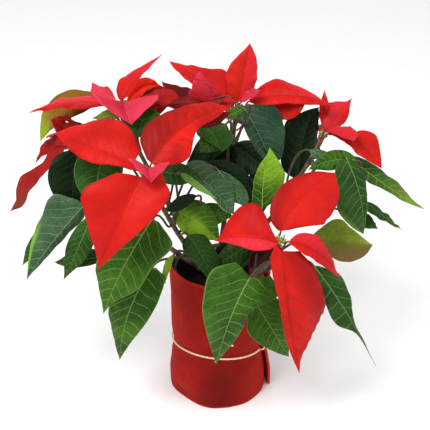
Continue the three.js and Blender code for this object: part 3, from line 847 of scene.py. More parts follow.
# %% The near left shoot
grow("near_left", ((-8, 0, 150), (-45, -20, 205), (-72, -78, 312)), [
    bract("outer", 0.94, (-84, -77, 322), (-113, -66, 331), (-168, -30, 336),
          (-110, -88, 316), (-109, -36, 345), 0.4, ridges=0.25, lobes=8,
          shape=((0.3, 0.5, 0.8, 0.5), (1.2, 1.4, 1.1, 0.5))),
    bract("inner", 0.96, (-66, -76, 323), (-42, -52, 345), (12, 0, 353),
          (-62, -28, 362), (-25, -68, 329), 0.4, "shaded", ridges=0.5,
          shape=((0.7, 0.8, 0.6, 0.4), (0.6, 1, 0.4, 0.3))),
    bract("large", 0.86, (-75, -94, 316), (-89, -114, 294), (-119, -126, 229),
          (-46, -110, 304), (-129, -122, 292), 0.33, "bright", lobes=7,
          shape=((0.6, 1, 0.8, 0.3), (1.3, 1, 0.6, 0.2))),
    bract("small", 0.91, (-67, -91, 324), (-66, -99, 323), (-64, -114, 320),
          (-47, -103, 336), (-86, -103, 340), 0.42, "pink", taper=1.2),
    leaf("upper", 0.6, (-66, -78, 261), (-90, -94, 226), (-120, -98, 158),
         (-67, -106, 218), (-117, -82, 231), 0.37, shape=((1.2, 1, 0.9, 0.2), (0.5, 1, 0.9, 0.3))),
    leaf("lower", 0.3, (-70, -62, 193), (-91, -74, 156), (-109, -66, 76),
         (-66, -78, 160), (-120, -66, 150), 0.37, shape=((0.8, 1.1, 1, 0.4), (0.6, 0.9, 0.6, 0.2))),
    leaf("centre", 0.7, (-33, -20, 293), (-13, -30, 280), (18, -44, 248),
         (-7, -16, 293), (-21, -40, 274), 0.37, "grey", shape=((0.6, 1, 1, 0.95), (0.5, 0.8, 0.5, 0.5))),
    leaf("middle", 0.5, (-30, -58, 230), (-19, -68, 217), (-6, -80, 186),
         (2, -60, 221), (-44, -72, 215), 0.37, "low", shape=((0.6, 0.7, 0.7, 0.4), (0.4, 0.6, 0.4, 0.2))),
    leaf("behind", 0.72, (-117, -28, 316), (-124, -38, 295), (-130, -46, 252),
         (-99, -38, 294), (-149, -38, 302), 0.35, "mid"),
    leaf("inner", 0.5, (-22, -40, 268), (-39, -50, 265), (-53, -60, 259),
         (-37, -54, 259), (-39, -46, 271), 0.4, "dark"),
    bract("shaded", 0.9, (-28, -20, 342), (-6, 0, 339), (16, 14, 342),
          (-7, -2, 348), (-4, -4, 332), 0.45, "maroon", taper=0.9),
    leaf("small", 0.55, (-67, -50, 301), (-43, -44, 296), (-12, -38, 286),
         (-41, -40, 307), (-47, -48, 285), 0.4, "mid"),
    leaf("rolled", 0.6, (-37, -50, 299), (-24, -56, 291), (0, -62, 276),
         (-22, -55, 294), (-26, -57, 288), 0.35, "grey", taper=0.5),
    leaf("shade", 0.65, (-12, -8, 292), (12, -12, 278), (40, -22, 254),
         (27, -6, 285), (-1, -18, 264), 0.4, "dark", taper=0.9),
    leaf("light", 0.62, (1, -20, 289), (16, -26, 272), (33, -34, 251),
         (29, -24, 271), (2, -30, 267), 0.4, "grey", taper=0.9),
    leaf("strip", 0.35, (-47, -56, 205), (-53, -62, 194), (-56, -66, 175),
         (-50, -64, 193), (-57, -60, 195), 0.4, "lime", taper=0.8),
])

# %% [markdown]
# ## The rear left shoot
# It stands behind the near one and spreads long bracts at the height of the flowers. Its olive leaf
# has all but lost its green.

# %% The rear left shoot
grow("rear_left", ((-6, 8, 160), (-60, 40, 215), (-106, 52, 320)), [
    bract("long", 0.97, (-121, 46, 337), (-156, 38, 343), (-202, 16, 340),
          (-164, 20, 343), (-165, 60, 341), 0.4, shape=((1.4, 1, 0.7, 0.3), (1.2, 0.9, 0.5, 0.1))),
    bract("up", 0.95, (-106, 62, 336), (-95, 74, 350), (-62, 98, 377),
          (-110, 84, 348), (-80, 69, 355), 0.42, shape=((0.4, 1, 1, 0.3), (0.7, 0.5, 0.2, 0.1))),
    bract("short", 0.92, (-99, 54, 338), (-82, 56, 353), (-60, 62, 352),
          (-81, 58, 366), (-85, 50, 343), 0.42, "orange",
          shape=((0.5, 0.9, 0.6, 0.1), (0.5, 0.9, 0.8, 0.3))),
    bract("low", 0.88, (-94, 42, 336), (-68, 38, 346), (-41, 42, 348),
          (-69, 46, 356), (-64, 26, 337), 0.45, "shaded",
          shape=((0.3, 0.7, 0.9, 0.6), (0.5, 0.8, 0.7, 0.3))),
    bract("folded", 0.99, (-102, 43, 339), (-98, 26, 337), (-91, 0, 333),
          (-66, 22, 354), (-131, 22, 357), 0.42, "pink", shape=((0.7, 1.1, 0.9, 0.3), (0.3, 1, 0.9, 0.6))),
    leaf("olive", 0.85, (-132, 78, 329), (-171, 70, 328), (-197, 44, 294),
         (-171, 56, 314), (-173, 88, 336), 0.4, "olive", shape=((0.9, 1.1, 0.8, 0.4), (0.7, 1, 0.8, 0.3))),
    bract("edge", 0.96, (-113, 58, 338), (-128, 68, 343), (-140, 80, 351),
          (-133, 64, 340), (-123, 74, 346), 0.42, "pink",
          shape=((0.6, 1.1, 1.4, 0.4), (0.6, 1.2, 0.7, 0.2))),
    bract("back", 0.9, (-108, 68, 322), (-112, 105, 318), (-118, 145, 295),
          (-130, 103, 314), (-93, 107, 314), 0.4, taper=1.1),
    leaf("back", 0.8, (-90, 75, 290), (-80, 115, 280), (-75, 165, 235),
         (-106, 118, 272), (-54, 112, 272), 0.38, "mid"),
    bract("rear", 0.93, (-92, 66, 344), (-66, 74, 336), (-37, 80, 332),
          (-66, 80, 346), (-66, 64, 326), 0.45, "maroon", taper=0.9),
    leaf("under", 0.8, (-97, 30, 337), (-80, 20, 328), (-62, 10, 313),
         (-64, 22, 338), (-97, 14, 316), 0.4, "mid", taper=0.9),
    bract("fill", 0.9, (-97, 38, 334), (-76, 40, 333), (-52, 46, 338),
          (-76, 46, 343), (-74, 32, 326), 0.45, "shaded", taper=0.9),
    leaf("gap", 0.85, (-97, 34, 336), (-114, 30, 333), (-136, 26, 329),
         (-114, 26, 327), (-115, 34, 338), 0.42, "brown", taper=0.9),
])

# %% [markdown]
# ## The far left shoot
# It leans out furthest. Its drooping bracts and long leaves make the plant's left outline.

# %% The far left shoot
grow("far_left", ((-7, 5, 145), (-100, 20, 200), (-165, 42, 286)), [
    bract("drooping", 0.91, (-170, 36, 292), (-209, 16, 258), (-229, 0, 229),
          (-199, 2, 255), (-223, 30, 258), 0.58, "drooping",
          shape=((0.7, 0.7, 0.6, 0.8), (0.5, 0.2, 0.8, 0))),
    bract("narrow", 0.93, (-168, 52, 295), (-186, 52, 287), (-206, 48, 264),
          (-183, 46, 284), (-191, 62, 290), 0.4, "drooping", taper=1.2),
    leaf("long", 0.7, (-144, -20, 247), (-170, -28, 219), (-209, -44, 167),
         (-159, -10, 195), (-190, -20, 231), 0.35, "grey",
         shape=((0.5, 0.4, 0.3, 0.1), (1.3, 1.1, 0.8, 0.3))),
    leaf("dark", 0.85, (-151, 14, 295), (-157, 4, 268), (-156, -8, 222),
         (-132, 12, 264), (-184, 0, 276), 0.37, "dark", taper=0.95),
    bract("back", 0.96, (-159, 44, 302), (-170, 46, 309), (-185, 48, 319),
          (-174, 38, 303), (-173, 54, 318), 0.42, "shaded"),
    bract("rear", 0.9, (-172, 58, 290), (-182, 90, 285), (-190, 120, 262),
          (-198, 88, 280), (-166, 92, 280), 0.42, taper=1.1),
    leaf("outer", 0.6, (-175, -2, 217), (-195, -8, 197), (-219, -14, 167),
         (-187, -8, 192), (-204, -4, 203), 0.37, "mid", taper=1.1),
    leaf("hidden", 0.5, (-135, -30, 240), (-147, -36, 213), (-169, -44, 166),
         (-136, -36, 203), (-162, -32, 210), 0.37, "mid", taper=1.05),
    leaf("low", 0.4, (-119, -20, 185), (-150, -22, 179), (-181, -24, 178),
         (-148, -28, 174), (-150, -14, 188), 0.37, "mid", taper=1.05),
    leaf("rear", 0.75, (-150, 70, 270), (-140, 110, 275), (-135, 160, 230),
         (-166, 112, 267), (-114, 108, 267), 0.38, "mid"),
    bract("fill", 0.95, (-138, 36, 299), (-156, 40, 302), (-181, 36, 292),
          (-163, 48, 316), (-152, 30, 285), 0.45, "shaded"),
    bract("top", 0.97, (-136, 34, 303), (-156, 44, 313), (-177, 52, 321),
          (-162, 44, 322), (-145, 42, 306), 0.45, "shaded"),
])

# %% [markdown]
# ## The rear shoot
# It is the tallest and the most crowded. Its upright bract is the top of the plant, and its hidden
# leaves fill the dark middle and the back.

# %% The rear shoot
grow("rear", ((2, 10, 165), (12, 50, 215), (21, 76, 316)), [
    bract("upright", 0.92, (24, 85, 325), (29, 92, 350), (37, 104, 388),
          (11, 82, 359), (47, 102, 349), 0.4, "orange", shape=((0.7, 1, 0.9, 0.3), (0.8, 0.9, 0.8, 0.4))),
    bract("wide", 0.96, (10, 88, 329), (-15, 100, 345), (-55, 120, 361),
          (-23, 88, 340), (-9, 114, 354), 0.33, shape=((0.8, 0.9, 0.8, 0.4), (1.6, 1, 0.4, 0.1))),
    bract("small", 0.99, (6, 68, 328), (-8, 58, 350), (-19, 58, 372),
          (-24, 54, 355), (6, 62, 345), 0.38, "pink", shape=((1.9, 1.3, 0.7, 0.2), (0.4, 0.5, 0.4, 0.3))),
    bract("dark", 0.93, (6, 80, 322), (-30, 76, 338), (-62, 82, 351),
          (-34, 64, 328), (-34, 88, 344), 0.45, "maroon",
          shape=((0.2, 0.6, 0.7, 0.5), (0.8, 0.7, 0.5, 0.1))),
    bract("long", 0.97, (37, 78, 329), (68, 70, 339), (131, 52, 332),
          (64, 88, 349), (68, 56, 329), 0.33, shape=((0.6, 1.1, 0.6, 0.1), (0.6, 0.7, 0.6, 0.3))),
    bract("under", 0.9, (46, 80, 323), (74, 68, 321), (97, 56, 333),
          (76, 78, 329), (75, 58, 311), 0.5, "shaded", shape=((0.5, 0.8, 0.9, 0.5), (0.4, 0.7, 0.8, 0.5))),
    leaf("front", 0.93, (29, 62, 329), (45, 42, 307), (60, 22, 272),
         (70, 50, 310), (23, 34, 311), 0.37, "teal", shape=((1.2, 1.2, 0.9, 0.5), (0.3, 0.6, 0.6, 0.3))),
    leaf("back", 0.75, (32, 112, 285), (46, 150, 274), (60, 200, 225),
         (20, 156, 280), (72, 146, 268), 0.37, "mid"),
    leaf("side", 0.6, (52, 88, 262), (75, 118, 256), (85, 165, 215),
         (50, 122, 262), (100, 112, 250), 0.37, "mid"),
    bract("centre", 0.97, (26, 70, 330), (37, 66, 341), (48, 62, 347),
          (35, 70, 345), (40, 62, 339), 0.42, "pink"),
    bract("back", 0.98, (21, 95, 322), (15, 135, 318), (10, 175, 290),
          (-5, 132, 312), (36, 138, 312), 0.4, taper=1.1),
    leaf("stem", 0.4, (16, 0, 277), (25, -8, 264), (33, -16, 239),
         (40, -8, 267), (8, -8, 262), 0.4, "grey"),
    leaf("fold", 0.85, (10, 30, 321), (-3, 16, 310), (-19, 2, 299),
         (8, 16, 301), (-15, 20, 318), 0.4, "mid"),
    leaf("yellow", 0.3, (-47, -30, 245), (-24, -40, 239), (4, -46, 215),
         (-13, -30, 255), (-32, -48, 224), 0.42, "lime", taper=0.9),
    leaf("far", 0.8, (-5, 115, 290), (-25, 155, 285), (-45, 195, 245),
         (-50, 145, 276), (0, 165, 276), 0.38, "mid"),
    leaf("low", 0.7, (16, 36, 299), (-3, 28, 293), (-27, 14, 283),
         (-6, 20, 282), (-8, 36, 307), 0.4, "dark", taper=0.9),
    leaf("centre", 0.65, (19, 38, 292), (39, 28, 281), (61, 10, 265),
         (50, 32, 294), (29, 18, 269), 0.4, "dark", taper=0.9),
    leaf("hanging", 0.82, (-14, 20, 325), (-3, 14, 313), (6, 4, 299),
         (16, 16, 316), (-20, 10, 315), 0.42, "mid", taper=0.9),
    leaf("tip", 0.82, (29, 22, 344), (18, 20, 338), (4, 18, 337),
         (19, 18, 332), (17, 22, 344), 0.42, taper=0.8),
    leaf("under", 0.35, (-27, -22, 237), (-5, -28, 243), (18, -34, 239),
         (-6, -24, 252), (-4, -34, 230), 0.42, taper=0.9),
    bract("low", 0.88, (10, 62, 341), (-23, 58, 336), (-63, 56, 334),
          (-24, 64, 343), (-21, 50, 327), 0.45, "maroon", taper=0.9),
    leaf("shade", 0.6, (18, 52, 285), (6, 46, 267), (-15, 34, 246),
         (21, 40, 261), (-10, 54, 272), 0.4, "dark", taper=0.9),
    bract("fill", 0.95, (21, 72, 330), (3, 66, 330), (-17, 58, 328),
          (2, 72, 337), (6, 58, 324), 0.45, "shaded", taper=0.9),
    leaf("deep", 0.5, (6, 50, 293), (-12, 44, 281), (-37, 36, 265),
         (-10, 40, 266), (-17, 48, 297), 0.45, "dark", taper=0.9),
])

# %% [markdown]
# ## The right shoot
# It has the leaf that reaches furthest to the right, a lime leaf that glows in the middle, and few
# bracts.

# %% The right shoot
grow("right", ((6, 6, 155), (70, 25, 200), (117, 46, 298)), [
    bract("upper", 0.91, (123, 56, 304), (137, 66, 318), (153, 86, 329),
          (125, 76, 324), (150, 58, 312), 0.5, shape=((1, 1.3, 1.1, 0.2), (0.4, 0.7, 0.6, 0.2))),
    bract("small", 0.99, (120, 36, 310), (135, 20, 316), (151, 2, 319),
          (141, 30, 319), (135, 10, 312), 0.45, shape=((0.7, 0.9, 0.9, 0.5), (0.2, 0.7, 0.9, 0.8))),
    bract("long", 0.95, (124, 38, 306), (158, 14, 302), (178, -6, 284),
          (168, 28, 310), (147, 2, 296), 0.58, shape=((0.2, 0.5, 1.2, 0.5), (0.2, 0.5, 0.7, 0.4))),
    leaf("hanging", 0.75, (138, -10, 299), (151, -22, 269), (161, -20, 211),
         (172, -15, 266), (133, -30, 268), 0.37, "mid", shape=((0.5, 0.5, 0.3, 0.1), (0.9, 1.3, 1.5, 0.8))),
    leaf("long", 0.85, (143, 10, 291), (168, 2, 273), (226, -16, 240),
         (180, 20, 275), (157, -9, 265), 0.32, shape=((0.6, 0.8, 0.7, 0.2), (0.3, 0.5, 0.3, 0.2))),
    leaf("short", 0.65, (164, 0, 241), (183, -6, 227), (204, -12, 213),
         (191, 4, 227), (175, -16, 226), 0.37, "mid", shape=((0.5, 0.5, 0.3, 0.1), (0.8, 0.6, 0.4, 0.1))),
    leaf("dark", 0.5, (93, 60, 241), (97, 66, 283), (114, 66, 326),
         (75, 60, 286), (117, 74, 287), 0.4, "dark", shape=((0.8, 1.1, 1.1, 0.5), (0.9, 0.9, 0.7, 0.3))),
    leaf("lime", 0.4, (49, -20, 243), (50, -14, 273), (57, 0, 306),
         (32, -20, 273), (69, -8, 272), 0.42, "lime", shape=((0.6, 0.6, 0.5, 0.1), (0.9, 1.2, 1.1, 0.5))),
    bract("spike", 0.97, (118, 60, 306), (119, 68, 324), (121, 80, 342),
          (115, 68, 324), (125, 68, 327), 0.5, taper=1.2),
    bract("back", 0.9, (121, 62, 298), (128, 95, 292), (135, 130, 265),
          (110, 98, 288), (147, 92, 288), 0.4, taper=1.1),
    leaf("tail", 0.6, (156, -4, 225), (167, -8, 220), (178, -12, 213),
         (172, -4, 224), (162, -12, 216), 0.37, "mid", shape=((1, 0.9, 0.5, 0.1), (0.5, 1.2, 0.8, 0.2))),
    leaf("behind", 0.6, (111, 78, 256), (99, 90, 280), (96, 100, 309),
         (78, 92, 278), (117, 90, 277), 0.4, "dark", taper=0.8),
    leaf("over", 0.7, (149, -8, 295), (125, -12, 297), (97, -16, 287),
         (125, -16, 287), (124, -8, 307), 0.45, taper=0.8),
    leaf("light", 0.62, (102, 20, 294), (118, 14, 290), (140, 4, 283),
         (121, 16, 294), (113, 12, 285), 0.42, "grey", taper=0.9),
    leaf("shade", 0.35, (57, 24, 271), (45, 10, 248), (34, -12, 209),
         (61, 12, 239), (29, 8, 256), 0.4, "dark", taper=0.9),
])

# %% [markdown]
# ## The near right shoot
# It leans forward over the pot's rim. Its large bract and leaves hang in front of the felt, and one
# leaf is turning brown.

# %% The near right shoot
grow("near_right", ((4, -3, 140), (48, -90, 188), (63, -104, 247)), [
    bract("folded", 0.92, (61, -112, 251), (33, -104, 254), (-1, -90, 241),
          (33, -116, 244), (36, -84, 277), 0.42, shape=((0.6, 0.9, 0.7, 0.3), (0.3, 1.1, 1, 0.3))),
    bract("upper", 0.88, (65, -97, 257), (81, -80, 279), (123, -46, 298),
          (55, -72, 297), (110, -80, 266), 0.45, "bright",
          shape=((0.4, 0.7, 0.7, 0.4), (1.2, 1.2, 1.1, 0.7))),
    bract("side", 0.95, (73, -112, 253), (98, -110, 242), (129, -98, 201),
          (106, -96, 250), (91, -122, 241), 0.42, shape=((0.6, 0.9, 0.6, 0.1), (0.4, 0.9, 0.9, 0.6))),
    bract("hanging", 0.92, (66, -117, 245), (71, -124, 199), (89, -108, 88),
          (97, -116, 192), (48, -130, 206), 0.33, "bright", ridges=1.5, lobes=4,
          shape=((1.25, 1.5, 0.85, 0.24), (0.6, 0.4, 0.37, 0.2)), places=(0, 0.1, 0.42, 0.66, 0.85, 1)),
    leaf("large", 0.8, (34, -104, 206), (23, -114, 188), (-1, -98, 93),
         (60, -102, 185), (-15, -118, 199), 0.28, lobes=8,
         shape=((1, 1.12, 0.56, 0.48), (1, 0.88, 0.81, 0.45)), places=(0, 0.1, 0.37, 0.46, 0.72, 1)),
    leaf("under", 0.55, (42, -72, 154), (56, -84, 135), (79, -80, 90),
         (76, -76, 136), (36, -90, 129), 0.37, lobes=10, shape=((1.4, 1.2, 0.7, 0.3), (0.6, 1.1, 0.9, 0.4))),
    leaf("drooping", 0.7, (103, -70, 200), (125, -78, 171), (180, -60, 62),
         (146, -68, 167), (108, -84, 167), 0.32, "mid",
         shape=((0.9, 0.75, 0.2, 0.08), (0.4, 0.8, 0.9, 0.15)), places=(0, 0.1, 0.35, 0.58, 0.7, 1)),
    leaf("brown", 0.85, (100, -60, 227), (133, -50, 218), (168, -44, 211),
         (132, -35, 235), (134, -68, 204), 0.4, "brown", shape=((0.5, 1.1, 0.7, 0.2), (0.5, 1, 0.9, 0.5))),
    leaf("inner", 0.5, (38, -50, 218), (17, -58, 207), (-7, -66, 195),
         (25, -60, 192), (13, -52, 217), 0.42, "low", taper=0.9),
    leaf("shade", 0.45, (29, -40, 220), (14, -48, 200), (-3, -58, 173),
         (33, -44, 187), (-3, -52, 209), 0.4, "dark", taper=0.8),
    bract("fill", 0.7, (66, -50, 211), (51, -56, 199), (33, -64, 181),
          (62, -50, 186), (39, -60, 211), 0.42, "deep", taper=0.9),
])

print("blades in all:", sum(len(blades) for _, blades in SHOOTS.values()))

# %% [markdown]
# ## Second colours
# Some blades change colour part of the way: one leaf browns on its lower half, one turns lime towards
# its tip, and on some bracts one side has a pink painted sheen, and on others a dark painted shade.
# Each rule gives 0 for the first colour and 1 for the second, from how far along the blade a point is
# and how far across, from -1 on the right edge to 1 on the left.

# %% Rules for the second colour
def evenly(share):
    """The same share of the second colour all over."""
    return lambda t, across: share


# On the red bracts the second colour is painted light: pink is a painted sheen and dark red is painted
# shade.
TURN_AND_PAINTED_LIGHT = {
    "right_lime_leaf": lambda t, across: 1 - soft(t - across * 0.2, 0.15, 0.6),
    "rear_left_olive_leaf": lambda t, across: soft(t, 0.55, 0.95),
    "near_right_brown_leaf": lambda t, across: soft(t * 0.4 - across, 0.0, 0.8),
    "right_hanging_leaf": lambda t, across: soft(abs(across) * t, 0.45, 0.75) * 0.7,
    "right_long_leaf": lambda t, across: soft(t, 0.4, 0.9) * 0.7,
    "near_left_centre_leaf": lambda t, across: soft(-across, 0.8, 0.95),
    "far_left_long_leaf": lambda t, across: soft(-across, 0.75, 0.9) * soft(t, 0.3, 0.6),
    "rear_yellow_leaf": lambda t, across: soft(across * 0.9 + t * 0.5, 0.1, 0.6) * 0.85,
    "near_left_rolled_leaf": evenly(0.6),
    "far_left_drooping_bract": lambda t, across: soft(t, 0.5, 0.9) * 0.8,
    "rear_left_long_bract": lambda t, across: soft(-across, -0.2, 0.3),
    "rear_left_up_bract": lambda t, across: soft(t, 0.3, 0.9) * 0.5,
    "rear_upright_bract": lambda t, across: 0.15 + 0.3 * soft(-across, -0.2, 0.5),
    "rear_small_bract": lambda t, across: soft(0.7 - t, 0.0, 0.6) * 0.8,
    "rear_wide_bract": evenly(0.1),
    "rear_long_bract": lambda t, across: soft(across * 0.5 + t, 0.6, 1.2) * 0.9,
    "right_upper_bract": lambda t, across: soft(across, -0.8, 0.5) * 0.6,
    "right_small_bract": evenly(0.5),
    "near_left_inner_bract": lambda t, across: soft(across, -0.15, 0.15) * (0.7 - 0.7 * soft(t, 0.3, 0.75)),
    "rear_left_low_bract": evenly(0.5),
    "far_left_fill_bract": lambda t, across: 0.9 - 0.5 * soft(t, 0.0, 0.6),
    "far_left_top_bract": evenly(0.7),
    "far_left_back_bract": evenly(0.5),
    "near_right_upper_bract": lambda t, across: soft(across * 0.9 - t * 0.6, -0.1, 0.5) * 0.7,
    "near_right_hanging_bract": lambda t, across: soft(across * 0.7 + 0.2 - t, 0.0, 0.4) * 0.6,
    "near_right_folded_bract": lambda t, across: soft(across, -0.05, 0.15) * 0.75,
    "near_right_side_bract": lambda t, across: soft(across, -0.3, 0.6) * 0.5,
}

# %% [markdown]
# ## Grow the plant
# Each shoot is a tube that swells a little at the place of every stalk. Its foot stands against the
# main stem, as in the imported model, so the main stem's own sizes come first.

# %% Shoots and blades
MAIN_STEM = {"bottom": 96 * MM, "top": 178 * MM, "radius": 6 * MM, "cut": 5 * MM}
STEM_AXIS = mm((-2, 4, 0))  # it stands a little off the middle of the pot
SHOOT_STEPS = 48
SHOOT_SLIM = 0.94  # a shoot's share of its packed radius, away from the swellings
SWELL_HIGH = 0.1  # how much thicker it is at a stalk
SWELL_LONG = 0.012  # how far that reaches, as a share of the shoot


def stem_radius(share):
    return mix(MAIN_STEM["radius"], MAIN_STEM["cut"], share)


def shoot_path(path):
    """The shoot's curve, with its foot moved to the side of the main stem."""
    foot, bend, top = (mm(point) for point in path)
    axis = Vector((STEM_AXIS.x, STEM_AXIS.y, foot.z))
    outward = foot - axis
    outward.z = 0
    outward.normalize()
    slope = (bend - foot).normalized().z
    side = stem_radius((foot.z - MAIN_STEM["bottom"]) / (MAIN_STEM["top"] - MAIN_STEM["bottom"]))
    foot = axis + outward * (side + GAP + SHOOT_RADIUS["foot"] * slope)
    return [foot, bend, top]


def make_shoot(name, path, blades):
    bm = bmesh.new()
    points, radii = [], []
    for i in range(SHOOT_STEPS + 1):
        at = i / SHOOT_STEPS
        swell = sum(bell(at - blade.at, SWELL_LONG) for blade in blades)
        points.append(bezier(path, at))
        radii.append(shoot_radius(at) * (SHOOT_SLIM + SWELL_HIGH * min(swell, 1)))
    grow_tube(bm, points, radii, sides=14)
    finish_piece(bm, f"{name}_shoot", [GREEN_STEM], [f"shoot_{name}"])


for shoot_name, (path, blades) in SHOOTS.items():
    curve = shoot_path(path)
    make_shoot(shoot_name, curve, blades)
    for blade in blades:
        rule = TURN_AND_PAINTED_LIGHT.get(f"{shoot_name}_{blade.name}_{blade.kind}")
        make_blade(shoot_name, curve, blade, rule)
print("grown:", sum(len(blades) for _, blades in SHOOTS.values()), "blades")

# %% [markdown]
# ## One flower cup
# The true flowers are small cups between the bracts. Each cup is a green egg with a yellow lip on one
# side and a few red-tipped stamens. They are small and many, so each part has only a few dozen faces.
# All sizes here are shares of the cup's own size.

# %% Flower cup
CUP_TALL = 1.35  # height, beside its width
LIP = {"place": (0.85, 0, 1.75), "size": (0.5, 0.75, 0.4)}
STAMENS = 5
STAMEN = {"radius": (0.12, 0.08), "foot": 2.1, "length": (0.9, 1.6), "tip": 0.2}
STAMEN_ASTRAY = (-0.2, 0.2)  # radians round the cup
STAMEN_LEAN = (0.15, 0.5)  # radians outwards
BALLS = {"egg": (12, 9), "lip": (8, 6), "tip": (6, 4)}  # sides and rings
FIFTH_TURN = 1.257  # radians
CUP_MATERIALS = [
    stem_finish("cup_green", (150, 160, 62), (116, 134, 48), 0.5, 900, 0.2 * MM),
    stem_finish("lip_yellow", (226, 190, 60), (212, 150, 50), 0.4, 900, 0.2 * MM),
    stem_finish("tip_red", (186, 40, 34), (150, 26, 28), 0.5, 900, 0.2 * MM),
]


def raised(height):
    return Matrix.Translation((0, 0, height))


def put_ball(bm, matrix, material, sides, rings):
    made = bmesh.ops.create_uvsphere(bm, u_segments=sides, v_segments=rings, radius=1, matrix=matrix)
    for vert in made["verts"]:
        for face in vert.link_faces:
            face.material_index = material


def put_cup(bm, seat, size, chance):
    egg = Matrix.Diagonal((size, size, size * CUP_TALL, 1))
    put_ball(bm, seat @ raised(size) @ egg, 0, *BALLS["egg"])
    lip_turn = Matrix.Rotation(chance.uniform(0, ABOUT_A_TURN), 4, "Z")
    lip = Matrix.Translation([size * share for share in LIP["place"]])
    lip = lip @ Matrix.Diagonal([size * share for share in LIP["size"]] + [1])
    put_ball(bm, seat @ lip_turn @ lip, 1, *BALLS["lip"])
    for i in range(STAMENS):
        turn = Matrix.Rotation(i * FIFTH_TURN + chance.uniform(*STAMEN_ASTRAY), 4, "Z")
        lean = Matrix.Rotation(chance.uniform(*STAMEN_LEAN), 4, "Y")
        foot = seat @ raised(size * STAMEN["foot"]) @ turn @ lean
        length = size * chance.uniform(*STAMEN["length"])
        thick, thin = (size * share for share in STAMEN["radius"])
        bmesh.ops.create_cone(
            bm, segments=5, radius1=thick, radius2=thin, depth=length, cap_ends=True,
            matrix=foot @ raised(length / 2),
        )
        tip = foot @ raised(length) @ Matrix.Scale(size * STAMEN["tip"], 4)
        put_ball(bm, tip, 2, *BALLS["tip"])


# %% [markdown]
# ## Flower clusters
# Each shoot ends in a small cone of a seat, with one cup in the middle and five round it that lean
# outwards. Chance makes every cup a little larger or smaller.

# %% Flower clusters
SEAT = {"foot": 1.8 * MM, "top": 4 * MM, "height": 3 * MM}
CUPS_AROUND = 5
CUP_RING = 3.5 * MM
CUP_RISE = 1.6 * MM
CUP_LEAN = 0.25  # radians
CUP_SIZE = {"middle": 2.1 * MM, "ring": 1.9 * MM}
CUP_SPREAD = (0.85, 1.05)  # smallest and largest, as shares of that size
NEAR_END = 0.99  # a place on the shoot from which its end's direction is taken


def make_flowers(name, path):
    bm = bmesh.new()
    chance = random.Random(name)
    top = bezier(path, 1)
    direction = (top - bezier(path, NEAR_END)).normalized()
    turn = direction.to_track_quat("Z", "Y").to_matrix().to_4x4()
    seat = Matrix.Translation(top + direction * GAP) @ turn
    bmesh.ops.create_cone(
        bm, segments=12, radius1=SEAT["foot"], radius2=SEAT["top"], depth=SEAT["height"],
        cap_ends=True, matrix=seat @ raised(SEAT["height"] / 2),
    )
    for i in range(1 + CUPS_AROUND):
        out = CUP_RING if i else 0
        angle = i * FIFTH_TURN
        place = Matrix.Translation(around(angle, out, CUP_RISE))
        lean = Matrix.Rotation(CUP_LEAN if i else 0, 4, around(angle + math.pi / 2, 1, 0))
        size = CUP_SIZE["ring" if i else "middle"] * chance.uniform(*CUP_SPREAD)
        put_cup(bm, seat @ place @ lean, size, chance)
    finish_piece(bm, f"{name}_cups", CUP_MATERIALS, [f"flowers_{name}"])


for shoot_name, (path, _) in SHOOTS.items():
    make_flowers(shoot_name, shoot_path(path))
print("flower clusters:", len(SHOOTS))

# %% [markdown]
# ## Main stem
# The grower pinches the main stem out above the soil, so that it branches. What is left is a short
# woody stub with a dry pale cut.

# %% Main stem
STEM_STEPS = 30
STEM_SLIM = 0.3 * MM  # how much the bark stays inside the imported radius
KNOT_HIGH = 0.25 * MM
KNOT_PACE = 21  # radians of the wave from bottom to top


def make_main_stem():
    bm = bmesh.new()
    points, radii = [], []
    for i in range(STEM_STEPS + 1):
        share = i / STEM_STEPS
        height = mix(MAIN_STEM["bottom"], MAIN_STEM["top"], share)
        points.append(Vector((STEM_AXIS.x, STEM_AXIS.y, height)))
        radii.append(stem_radius(share) - STEM_SLIM + KNOT_HIGH * math.sin(share * KNOT_PACE))
    verts = grow_tube(bm, points, radii, sides=20)
    for face in {face for vert in verts for face in vert.link_faces}:
        if len(face.verts) > 4 and face.calc_center_median().z > points[-1].z - MM:
            face.material_index = 1
    finish_piece(bm, "main_stem_stub", [WOODY_STEM, CUT_WOOD], ["main_stem"])


make_main_stem()
print(f"main stem: {(MAIN_STEM['top'] - MAIN_STEM['bottom']) / MM:.0f} mm tall")

# %% [markdown]
# ## Felt finish
# Felt is matted wool: large soft clouds of colour, a fine tangle and finer hairs that catch the light
# as sheen. Two attributes of the mesh paint shade on the front low down and over the back, and paint a
# highlight on the cut edges.

# %% Felt finish
FELT_SURFACE = {
    "Roughness": 0.95, "Sheen Weight": 0.2, "Sheen Roughness": 0.45,
    "Sheen Tint": paint(230, 90, 70), "Specular IOR Level": 0.15,
}
FELT_COLOURS = {
    "deep": paint(142, 17, 10), "light": paint(172, 27, 17), "tangle": paint(120, 12, 12),
    # flat is painted shade for the front low down and the back; cut is a painted highlight on the cut edges
    "flat": paint(92, 9, 6), "cut": paint(214, 56, 36),
}


def felt_finish():
    finish = Finish("red_felt", FELT_SURFACE)
    mottle = finish.noise(34, detail=4)
    wool = finish.noise(520, detail=5, roughness=0.7)
    hairs = finish.noise(1800, detail=3)
    cloudy = finish.ramp(mottle, 0.3, 0.7)
    colour = finish.blend(cloudy, FELT_COLOURS["deep"], FELT_COLOURS["light"])
    colour = finish.blend(finish.ramp(wool, 0.35, 0.75) * 0.5, colour, FELT_COLOURS["tangle"])
    # painted shade on the front low down and over the back
    colour = finish.blend(finish.attribute("nap") * (0.6 + mottle * 0.5), colour, FELT_COLOURS["flat"])
    # a painted highlight on the cut edges
    colour = finish.blend(finish.attribute("cut_edge") * 0.8, colour, FELT_COLOURS["cut"])
    finish.feed("Base Color", colour)
    finish.bump(wool * 0.7 + hairs * 0.3 + mottle * 0.3, 1.2 * MM)
    return finish.material


